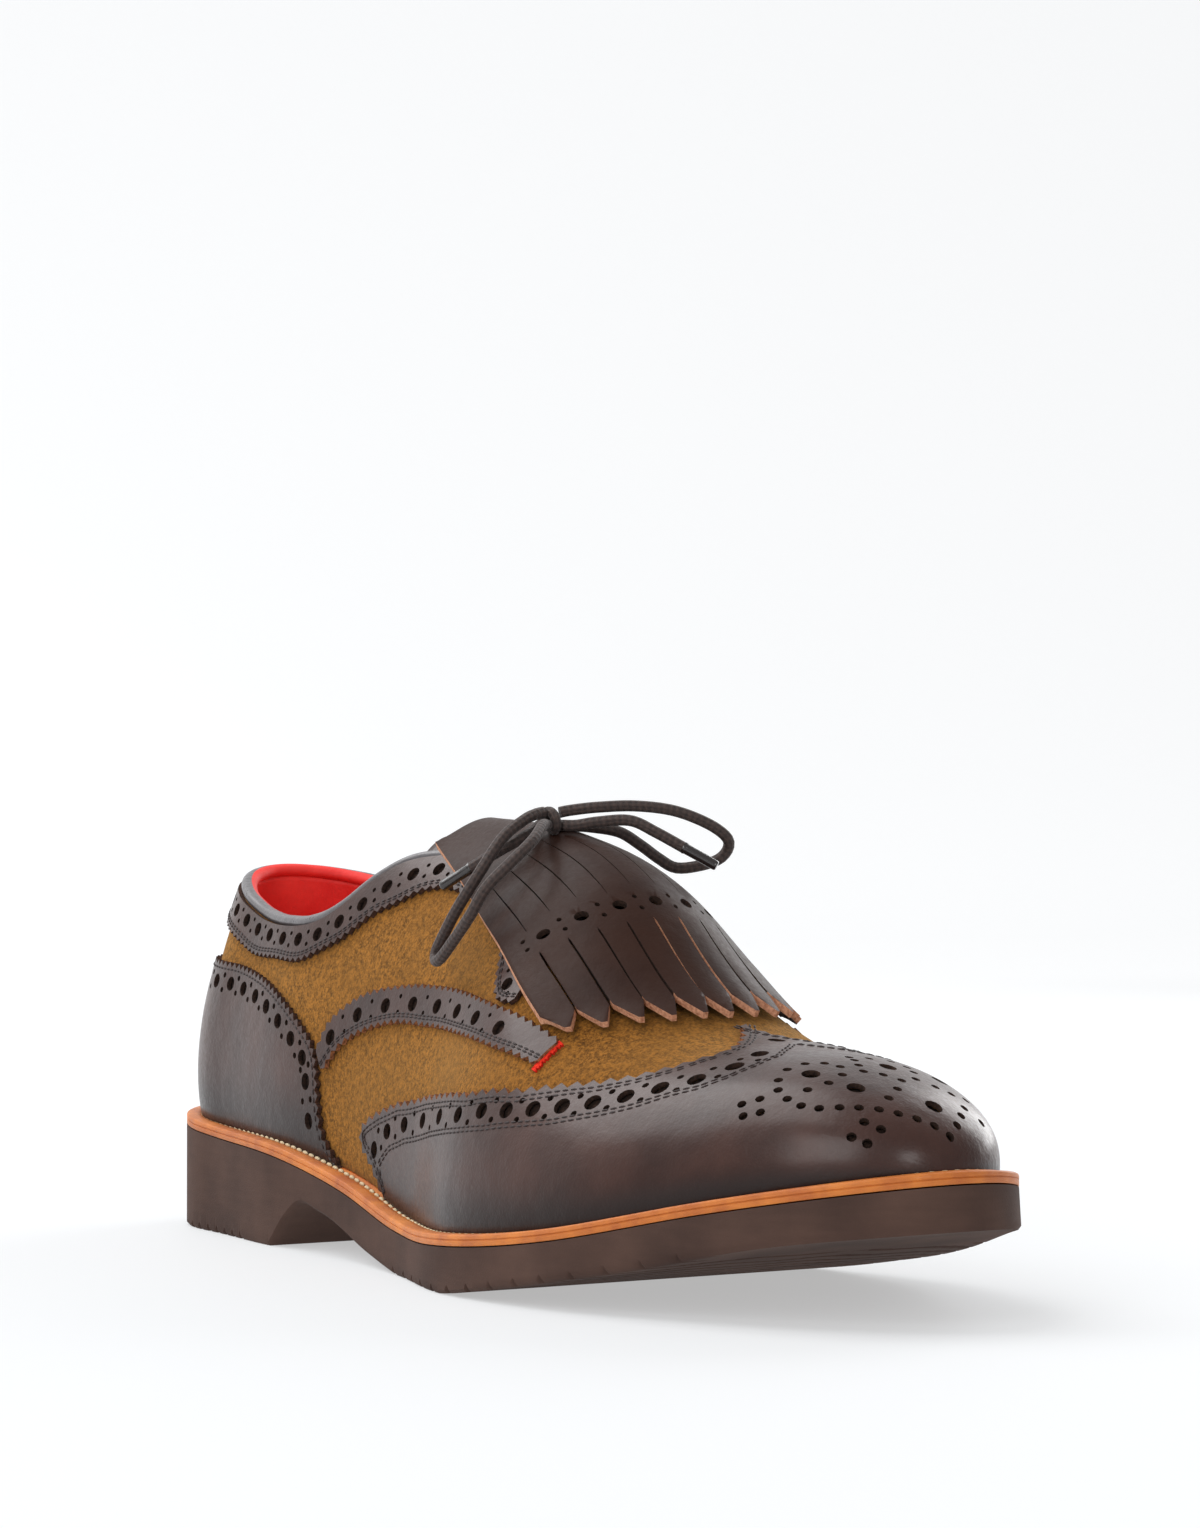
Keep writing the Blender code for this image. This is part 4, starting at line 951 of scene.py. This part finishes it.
def makeWing():
    edges, holes = [], []
    for side in (-1, 1):
        rim, line, seam = lineOf(wingEdge, side), lineOf(wingHoles, side), lineOf(wingSeam, side)
        sign = insideOf(rim, seam)
        edges.append(pinked(rim, wingCap["pitch"], wingCap["tooth"] * sign))
        holes += broguing(line, 0.0, wingCap["holePitch"], wingCap["bigHole"], wingCap["smallHole"],
                          wingCap["spread"], 0.0, line.total, wingCap["swell"])
        sew(rim, [aside * sign for aside in wingCap["rimSeams"]], wingCap["lift"], 2.2 * mm, 0.6 * mm)
        sew(seam, [aside * sign for aside in wingCap["innerSeams"]], wingCap["lift"], 2.2 * mm, 0.6 * mm)
    holes.append(roundHole(wingCap["peakHole"], 0.0, wingCap["bigHole"], 14))
    holes += [roundHole(along, place, wingCap["roseLarge"], 14) for along, place in roseLarge]
    holes += [roundHole(along, place, wingCap["roseSmall"], 10) for along, place in roseSmall]
    tip = wayLength - last["gap"]
    sole = np.array([(w, flatWide) for w in np.linspace(wayOf(wingEdge[0][0]), tip, 90)])
    nose = np.array([(tip, y * flatWide) for y in np.linspace(0.95, -0.95, 39)])
    edge = np.concatenate([edges[0], edges[1][::-1][1:], sole[1:], nose, (sole * (1, -1))[::-1][:-1]])
    bm = cutFlat(edge, holes, gridLines(float(wayOf(0.38)), tip, 2.3 * mm),
                 gridLines(-flatWide, flatWide, 2.5 * mm), last["overlay"])
    overlay("wing_cap", bm, holes, wingCap["lift"], rawCalf)


makeWing()
print("wing cap made")


# suede quarters and vamp: one hollow skin with its red lining
upperShape = {"rows": 230, "columns": 44}


def makeUpper():
    bm = bmesh.new()
    for side, name in ((-1, "lateral"), (1, "medial")):
        verts = bmesh.ops.create_grid(bm, x_segments=upperShape["rows"], size=0.5,
                                      y_segments=upperShape["columns"])["verts"]
        flat = np.array([v.co[:] for v in verts])
        ways = (flat[:, 0] + 0.5) * wayLength
        shares = shareOf(ways)
        rim = np.where(shares < throatEnd, read(opening, name, shares), 0.0)
        places = side * (1 - (1 - rim) * (flat[:, 1] + 0.5))
        places = np.where(np.abs(places) < 1e-6, side * 1e-6, places)
        for vert, point in zip(verts, onLast(ways, places, 0.0)):
            vert.co = point
    bmesh.ops.remove_doubles(bm, verts=bm.verts, dist=0.03 * mm)
    bmesh.ops.dissolve_degenerate(bm, edges=bm.edges, dist=0.01 * mm)
    bmesh.ops.recalc_face_normals(bm, faces=bm.faces)
    lowest = min(bm.faces, key=lambda f: f.calc_center_median().x)
    if lowest.normal.x > 0:
        bmesh.ops.reverse_faces(bm, faces=bm.faces)
    piece("upper_suede", bm, [tanSuede, redLining], ["upper"], 60, [
        ("SOLIDIFY", {"thickness": last["wall"], "offset": -1.0, "use_quality_normals": True,
                      "material_offset": 1, "material_offset_rim": 1})])


makeUpper()
print("upper made")

# rolled binding of the collar
binding = {"wide": 4.2 * mm, "tall": 3.4 * mm, "end": 0.405, "clear": -0.3 * mm, "lining": 0.1}


def makeBinding():
    ways, places = roundHeel(binding["end"], lambda s, side: read(opening, side, s), count=190)
    rim = onLast(ways, places, -last["wall"] / 2)
    step = unit(onLast(ways, places + 0.02, -last["wall"] / 2) - rim)
    pucker = 1 + 0.02 * np.sin(np.linspace(0, 90, 190)) * np.sin(np.linspace(0, 17, 190))
    tube = sweep(rim + step * (binding["tall"] / 2 + binding["clear"]), binding["wide"], binding["tall"],
                 sides=18, up=step, radii=pucker)
    # the lining is turned up over the inner side of the roll
    turned = tube.loops.layers.uv.active
    for face in tube.faces:
        turn = np.mean([loop[turned].uv.y for loop in face.loops])
        face.material_index = 1 if -math.sin(2 * math.pi * turn) > binding["lining"] else 0
    piece("collar_binding_roll", tube, [bindingCalf, redLining], ["collar_binding"])


makeBinding()

# strip over the back seam
backStrip = {"half": 3.4 * mm, "top": 0.530, "low": 0.615}


def makeBackStrip():
    bm = bmesh.new()
    bmesh.ops.create_grid(bm, x_segments=10, y_segments=10, size=0.5)

    def where(x, y, z):
        middle = (backStrip["top"] + backStrip["low"]) / 2
        place = -(middle + y * (backStrip["low"] - backStrip["top"]))
        return onLast(x * 2 * backStrip["half"], place, last["gap"] + z)
    piece("back_strip_leather", facing(moved(bm, where), 1), [brownCalf], ["back_strip"], 40, [
        ("SOLIDIFY", {"thickness": last["overlay"], "offset": 1.0})])


makeBackStrip()

# tongue
tongue = {"back": 0.350, "long": 0.300, "thick": 2.0 * mm}
tongueRows = curves("along place under", [
    (0.350, 0.194, 1.225), (0.360, 0.223, 1.225), (0.420, 0.213, 1.225), (0.460, 0.207, 0.375),
    (0.550, 0.192, 0.375), (0.650, 0.175, 0.375)])


def makeTongue():
    bm = bmesh.new()
    bmesh.ops.create_grid(bm, x_segments=50, y_segments=18, size=0.5)

    def where(x, y, z):
        share = tongue["back"] + (x + 0.5) * tongue["long"]
        half = read(tongueRows, "place", share)
        under = -last["wall"] * (1 + read(tongueRows, "under", share))
        return onLast(wayOf(share), y * 2 * half, under)
    piece("tongue_leather", facing(moved(bm, where), 2), [brownCalf, redLining, rawCalf], ["tongue"],
          40, [("SOLIDIFY", {"thickness": tongue["thick"], "offset": -1.0, "material_offset": 1,
                                      "material_offset_rim": 2})])


makeTongue()

# lace crossings under the kiltie, pressed a little flat
bars = {"along": (0.455, 0.505, 0.555), "reach": 0.2, "tall": 2.2 * mm}
for number, share in enumerate(bars["along"], 1):
    places = np.linspace(-bars["reach"], bars["reach"], 15)
    ways = np.full(15, float(wayOf(share)))
    path = onLast(ways, places, 2 * last["gap"] + last["overlay"] + bars["tall"] / 2)
    piece("lace_bar_%d_cord" % number, sweep(path, last["lace"], bars["tall"]), [brownLace],
          ["lace_bar_%d" % number])
print("binding, tongue and bars made")

# kiltie
# lift and crest are counted in the leather's own thickness
kiltieRows = curves("down along place lift crest", [
    (0.00, 0.413, 0.200, 2.00, 0.0), (0.18, 0.462, 0.258, 3.00, 0.0), (0.38, 0.520, 0.325, 3.06, 0.5),
    (0.60, 0.587, 0.373, 2.88, 1.8), (0.80, 0.630, 0.411, 1.90, 0.9), (1.00, 0.672, 0.446, 0.80, 0.0)])
kiltie = {"strips": 11, "slit": 0.035, "slitStart": 0.705, "tipRow": 0.935, "middleReach": 0.064,
          "flatWide": 34 * mm, "flatLong": 88 * mm, "holeRow": 0.660, "bigHole": 3.1 * mm, "punches": 7,
          "smallHole": 1.1 * mm, "lastPunch": 0.745, "spread": 1.5 * mm, "cutFrom": 0.36, "cutTo": 0.625,
          "cutHalf": 0.16 * mm, "corner": 2.4 * mm, "skive": 0.009, "paleSlits": (5, 6),
          # each strip from the outer side: how far its tip turns aside and how far it lifts, in mm
          "turn": (0.0, -0.1, 0.1, -0.1, 0.0, -0.5, -0.3, 0.2, 0.4, 0.3, 0.5),
          "rise": (0.1, 0.0, 0.2, 0.0, 0.2, 0.1, 0.2, 0.1, 0.3, 0.0, 0.2)}


def makeKiltie():
    wide, long = kiltie["flatWide"], kiltie["flatLong"]
    strips = kiltie["strips"]
    each = 2.0 / strips
    gap = kiltie["slit"] * each
    edge = [(x, 0.0) for x in np.linspace(-1, 1, 23)]
    edge += [(1.0, d) for d in np.linspace(0.05, kiltie["tipRow"], 16)]
    down = np.linspace(kiltie["slitStart"] + 0.012, kiltie["tipRow"], 8)
    for number in range(strips - 1, -1, -1):
        right, left = -1 + (number + 1) * each, -1 + number * each
        if number < strips - 1:
            edge += [(right, kiltie["slitStart"])]
            edge += [(right - gap, d) for d in down]
        edge += [((left + right) / 2 + each * 0.08, 1.0), ((left + right) / 2 - each * 0.08, 1.0)]
        if number:
            edge += [(left + gap, d) for d in down[::-1]]
    edge += [(-1.0, d) for d in np.linspace(kiltie["tipRow"], 0.05, 16)]
    edge = np.array(edge) * (wide, long)
    holes = []
    row = kiltie["holeRow"] * long
    punches = np.linspace(-kiltie["lastPunch"], kiltie["lastPunch"], kiltie["punches"])
    for across in punches:
        turn = Matrix(((1, 0, 0, across * wide), (0, 0.8, 0, row), (0, 0, 1, 0), (0, 0, 0, 1)))
        holes.append((kiltie["bigHole"] / 2, 16, turn))
    half = (punches[1] - punches[0]) / 2
    for across in np.append(punches - half, punches[-1] + half):
        for step in (-kiltie["spread"], kiltie["spread"]):
            holes.append((kiltie["smallHole"] / 2, 9, Matrix.Translation((across * wide, row + step, 0))))
    for k in range(strips - 1):
        x = (-1 + (k + 1) * each) * wide
        middle, half = (kiltie["cutFrom"] + kiltie["cutTo"]) / 2, (kiltie["cutTo"] - kiltie["cutFrom"]) / 2
        middle, half = middle * long, half * long * (0.92 + 0.08 * math.cos(k * 2.1))
        turn = Matrix(((kiltie["cutHalf"], 0, 0, x), (0, half, 0, middle), (0, 0, 1, 0), (0, 0, 0, 1)))
        holes.append((1.0, 16, turn))
    bm = cutFlat(edge, holes, gridLines(-wide, wide, 1.6 * mm), gridLines(0, long, 2.0 * mm),
                 last["kiltie"], soften=0.18 * mm)
    # slit walls keep the pale raw edge only at the outer edges, the tips and the slits in paleSlits; the
    # other slit walls take the near-black cut edge as painted shade between the strips
    for face in bm.faces:
        if face.material_index == 1:
            x, y, z = face.calc_center_median()
            seen = abs(x) > 0.985 * wide or y > (kiltie["tipRow"] - 0.01) * long
            slit = round((x / wide + 1) / each)
            face.material_index = 1 if seen or slit in kiltie["paleSlits"] else 2
    turn, rise = np.array(kiltie["turn"]), np.array(kiltie["rise"])

    def where(x, y, z):
        across, down = x / wide, y / long
        skived = np.clip((np.abs(across) - 0.985) / 0.015, 0, 1) * (1 - z / last["kiltie"])
        number = np.clip(((across + 1) / each).astype(int), 0, strips - 1)
        centre = -1 + (number + 0.5) * each
        free = np.clip((down - kiltie["slitStart"]) / (1 - kiltie["slitStart"]), 0, 1) ** 1.4
        across = across + free * turn[number] * mm / wide
        bulge = 1 - ((across - centre) / (each / 2)) ** 2
        share = read(kiltieRows, "along", down)
        share = share + kiltie["middleReach"] * (1 - across * across) * np.maximum(down, 0) ** 1.5
        half = read(kiltieRows, "place", down)
        lift = read(kiltieRows, "lift", down) + read(kiltieRows, "crest", down) * (1 - across * across)
        lift = lift * last["kiltie"] + z + free * (rise[number] + 0.35 * bulge) * mm
        lift = lift + kiltie["corner"] * across ** 4 * np.clip(1 - down / 0.25, 0, 1)
        return onLast(wayOf(share), across * half + np.sign(across) * skived * kiltie["skive"], lift)
    piece("kiltie_leather", moved(bm, where), [kiltieCalf, rawKiltie, shadedHoleCut], ["kiltie"])


makeKiltie()
print("kiltie made")

makeHoleShade()
for number, start in enumerate(range(0, len(stitchRows), 6), 1):
    repeated("stitches_%d" % number, stitchesOn(stitchRows[start:start + 6]), 1, darkThread)
print("stitches made")


def soleLoop(inset, count):
    # the outline from the back of the heel along the outer side, round the toe and back
    s = last["length"] * (0.5 - 0.5 * np.cos(np.pi * np.linspace(0, 1, 3001)))
    s = np.clip(s, inset, last["length"] - inset)
    outer, inner = edgeOf(s, -np.ones_like(s), inset), edgeOf(s, np.ones_like(s), inset)
    x, s = np.concatenate((outer, inner[::-1][1:-1])), np.concatenate((s, s[::-1][1:-1]))
    closedX, closedS = np.append(x, x[0]), np.append(s, s[0])
    lengths = np.concatenate(([0], np.cumsum(np.hypot(np.diff(closedX), np.diff(closedS)))))
    even = np.linspace(0, lengths[-1], count, endpoint=False)
    x, s = np.interp(even, lengths, closedX), np.interp(even, lengths, closedS)
    return x - middleX, middleY - s, s


# stitches round the welt
welt = {"inset": 4.1 * mm, "sunk": 0.05 * mm, "sunkMore": 0.4 * mm, "pitch": 3.1 * mm, "long": 2.5 * mm,
        "wide": 1.05 * mm, "tall": 1.0 * mm}
# the tan layer: outer face of two plies, rounded top edge, and a stitched channel by the upper
weltSection = [(-0.10, -2.60), (0.0, -2.45), (0.0, -1.45), (-0.22, -1.32), (-0.22, -1.20), (0.0, -1.08),
               (0.0, -0.42), (-0.10, -0.16), (-0.40, -0.02), (-2.40, 0.04), (-3.30, 0.02), (-3.55, -0.28),
               (-4.70, -0.28), (-4.95, 0.0), (-8.5, 0.05), (-14.0, 0.0), (-14.0, -2.60)]


def makeWelt():
    x, y, s = soleLoop(0.0, 330)
    path = np.stack([x, y, soleHeight(s)], -1)
    bm = sweep(path, mm, mm, up=[(0, 0, 1)], closed=True, shape=weltSection)
    piece("welt", bm, [tanWelt], ["midsole"], 50)
    x, y, s = soleLoop(0.0, 600)
    flat = unit(np.stack([np.gradient(x), np.gradient(y), np.gradient(soleHeight(s))], -1))
    side = unit(np.cross(flat, (0, 0, 1)))
    # the thread lies in a channel, which is deeper through the forepart
    sunk = welt["sunk"] + welt["sunkMore"] * np.clip((s / last["length"] - 0.38) / 0.08, 0, 1)
    points = np.stack([x, y, soleHeight(s) - sunk], -1) - side * welt["inset"]
    lengths = np.concatenate(([0], np.cumsum(np.linalg.norm(np.diff(points, axis=0), axis=1))))
    stitches = []
    for at in np.arange(1.5 * mm, lengths[-1] - 1.5 * mm, welt["pitch"]):
        p, a, o = [np.array([np.interp(at, lengths, v[:, k]) for k in range(3)])
                   for v in (points, flat, side)]
        stitches.append((a * welt["long"], o * welt["wide"], np.cross(o, a) * welt["tall"], p))
    repeated("welt_stitches", stitches, 2, creamThread)


makeWelt()
print("welt made")

outsole = {"rows": 760, "across": 26, "side": 7, "chamfer": 0.8 * mm, "frontPitch": 8.6 * mm,
           "heelPitch": 5.4 * mm, "groove": 1.0 * mm, "depth": 1.1 * mm}


def makeOutsole():
    s = last["length"] * (0.5 - 0.5 * np.cos(np.pi * np.linspace(0, 1, 4001)))
    x = (edgeOf(s, np.ones_like(s)) - edgeOf(s, -np.ones_like(s))) / 2
    ways = np.concatenate(([0], np.cumsum(np.hypot(np.diff(s), np.diff(x)))))
    across, side = outsole["across"], outsole["side"]
    ring = 2 * side + across + 8
    bm = bmesh.new()
    bmesh.ops.create_grid(bm, x_segments=outsole["rows"], y_segments=ring, size=0.5)

    def where(u, v, z):
        at = np.interp((u + 0.5) * ways[-1], ways, s)
        k = np.round((v + 0.5) * ring).astype(int)
        low, high = underside(at), soleHeight(at) - last["welt"] - last["gap"]
        # down the outer side, across the underside, up the inner side and back over the top
        down = np.clip(k / side, 0, 1)
        over = np.clip((k - side) / across, 0, 1)
        rise = np.clip((k - side - across) / side, 0, 1)
        home = np.clip((k - 2 * side - across) / 8, 0, 1)
        wayAcross = np.where(k <= side, 0.0, np.where(k <= side + across, over, 1 - home))
        outer, inner = edgeOf(at, -np.ones_like(at)), edgeOf(at, np.ones_like(at))
        inset = np.minimum(outsole["chamfer"], (inner - outer) * 0.15)
        under = (k >= side) & (k <= side + across)
        left = outer + np.where(under, inset, 0)
        right = inner - np.where(under, inset, 0)
        x = left + (right - left) * wayAcross
        tall = high - low - outsole["chamfer"]
        height = np.where(k < side, high - tall * k / (side - 1),
                          np.where(under, low,
                                   np.where(home > 0, high, low + outsole["chamfer"]
                                            + tall * (k - side - across - 1) / (side - 1))))
        height = np.where(k == ring, high, height)
        # grooves of the tread run across in arcs and show as notches at the edge
        middle = np.abs(wayAcross * 2 - 1)
        arc = at + 9 * mm * (middle ** 2) + 1.2 * mm * np.sin(wayAcross * 20)
        front = (at > 0.47 * last["length"]) & (at < 0.86 * last["length"])
        heel = (at > 0.03 * last["length"]) & (at < 0.20 * last["length"])
        pitch = np.where(front, outsole["frontPitch"], outsole["heelPitch"])
        off = np.abs((arc / pitch) % 1 - 0.5) * pitch
        cut = np.clip(1.6 - off / (outsole["groove"] / 2), 0, 1) * (front | heel)
        nearEdge = (k == side - 1) | (k == side + across + 1)
        height = height + outsole["depth"] * cut * (under | nearEdge)
        lean = last["toeLean"] * np.maximum(0, (at / last["length"] - 0.72) / 0.28) ** 2
        return np.stack([x - middleX, middleY - at - lean * (high - height), height], -1)
    moved(bm, where)
    bmesh.ops.remove_doubles(bm, verts=bm.verts, dist=0.02 * mm)
    bmesh.ops.dissolve_degenerate(bm, edges=bm.edges, dist=0.005 * mm)
    bmesh.ops.recalc_face_normals(bm, faces=bm.faces)
    piece("outsole_rubber", bm, [brownRubber], ["outsole"], 45)


makeOutsole()

# insole
insole = {"inset": 8.7 * mm, "thick": 3.0 * mm, "cup": 1.2 * mm, "sheet": 1.6 * mm}


def makeInsole():
    bm = bmesh.new()
    bmesh.ops.create_grid(bm, x_segments=110, y_segments=26, size=0.5)
    inset = insole["inset"]

    def where(u, v, z):
        ease = 0.5 - 0.5 * np.cos(np.pi * (u + 0.5))
        at = inset + 0.05 * mm + (last["length"] - 2 * inset - 0.1 * mm) * ease
        outer, inner = edgeOf(at, -np.ones_like(at), inset), edgeOf(at, np.ones_like(at), inset)
        cup = insole["cup"] * np.abs(2 * v) ** 4
        height = soleHeight(at) + last["gap"] + insole["thick"] - insole["cup"] + cup
        return np.stack([outer + (inner - outer) * (v + 0.5) - middleX, middleY - at, height], -1)
    moved(bm, where)
    bmesh.ops.remove_doubles(bm, verts=bm.verts, dist=0.01 * mm)
    piece("insole_sheet", facing(bm, 2), [redLining], ["insole"], 40, [
        ("SOLIDIFY", {"thickness": insole["sheet"], "offset": -1.0})])


makeInsole()
print("sole made")

# floor and light
floor = bmesh.new()
bmesh.ops.create_grid(floor, x_segments=2, y_segments=80, size=4.0)


def sweepUp(x, y, z):
    # level as far as the bend, then curving up behind the shoe
    rise = np.maximum(0, y - 1.4)
    back = np.minimum(y, 1.4 + 0.9 * np.tanh(rise / 0.9))
    return np.stack([x * 1.5, back, rise ** 2 / (0.6 + 0.4 * rise)], -1)


moved(floor, sweepUp)
floorMesh = bpy.data.meshes.new("floor")
floor.to_mesh(floorMesh)
floor.free()
floorMesh.shade_smooth()
# milky acrylic sheet, lit from behind and more so where it curves up
paper, tree, main, place = shader("litAcrylic", {
    "Base Color": linear("#a4a6a8"), "Roughness": 0.7, "Specular IOR Level": 0.1,
    "Emission Color": linear("#ffffff")})
split = add(tree, "SeparateXYZ", None, {"Vector": place})
glow = add(tree, "MapRange", {"From Min": 0.2, "From Max": 1.6, "To Min": 0.45, "To Max": 0.71},
           {"Value": split.outputs["Y"]})
tree.links.new(glow.outputs["Result"], main.inputs["Emission Strength"])
floorMesh.materials.append(paper)
floorObject = bpy.data.objects.new("floor", floorMesh)
bpy.context.scene.collection.objects.link(floorObject)

lights = {  # place, aim, width, height, watts
    "top": ((-0.45, 0.62, 1.25), (0, 0, 0.03), 1.3, 1.3, 17),
    "left": ((-1.3, -0.75, 0.8), (0, 0, 0.04), 0.9, 1.1, 11),
    "right": ((1.15, 0.35, 0.55), (0, -0.05, 0.04), 0.7, 0.9, 8),
    "front": ((-0.15, -1.35, 0.42), (0, -0.12, 0.04), 0.3, 0.45, 2.5)}
for name, (place, aim, wide, tall, watts) in lights.items():
    lamp = bpy.data.lights.new(name, "AREA")
    lamp.shape, lamp.size, lamp.size_y, lamp.energy = "RECTANGLE", wide, tall, watts
    lit = bpy.data.objects.new(name, lamp)
    lit.location = place
    lit.rotation_euler = (Vector(aim) - Vector(place)).to_track_quat("-Z", "Y").to_euler()
    bpy.context.scene.collection.objects.link(lit)
world = bpy.data.worlds.new("studio")
world.use_nodes = True
world.node_tree.nodes["Background"].inputs["Color"].default_value = linear("#f7f9fb")
world.node_tree.nodes["Background"].inputs["Strength"].default_value = 0.42
bpy.context.scene.world = world
bpy.context.scene.view_settings.view_transform = "Standard"
print("light set")

cadBox = [list(map(float, corner)) for corner in cadBox]
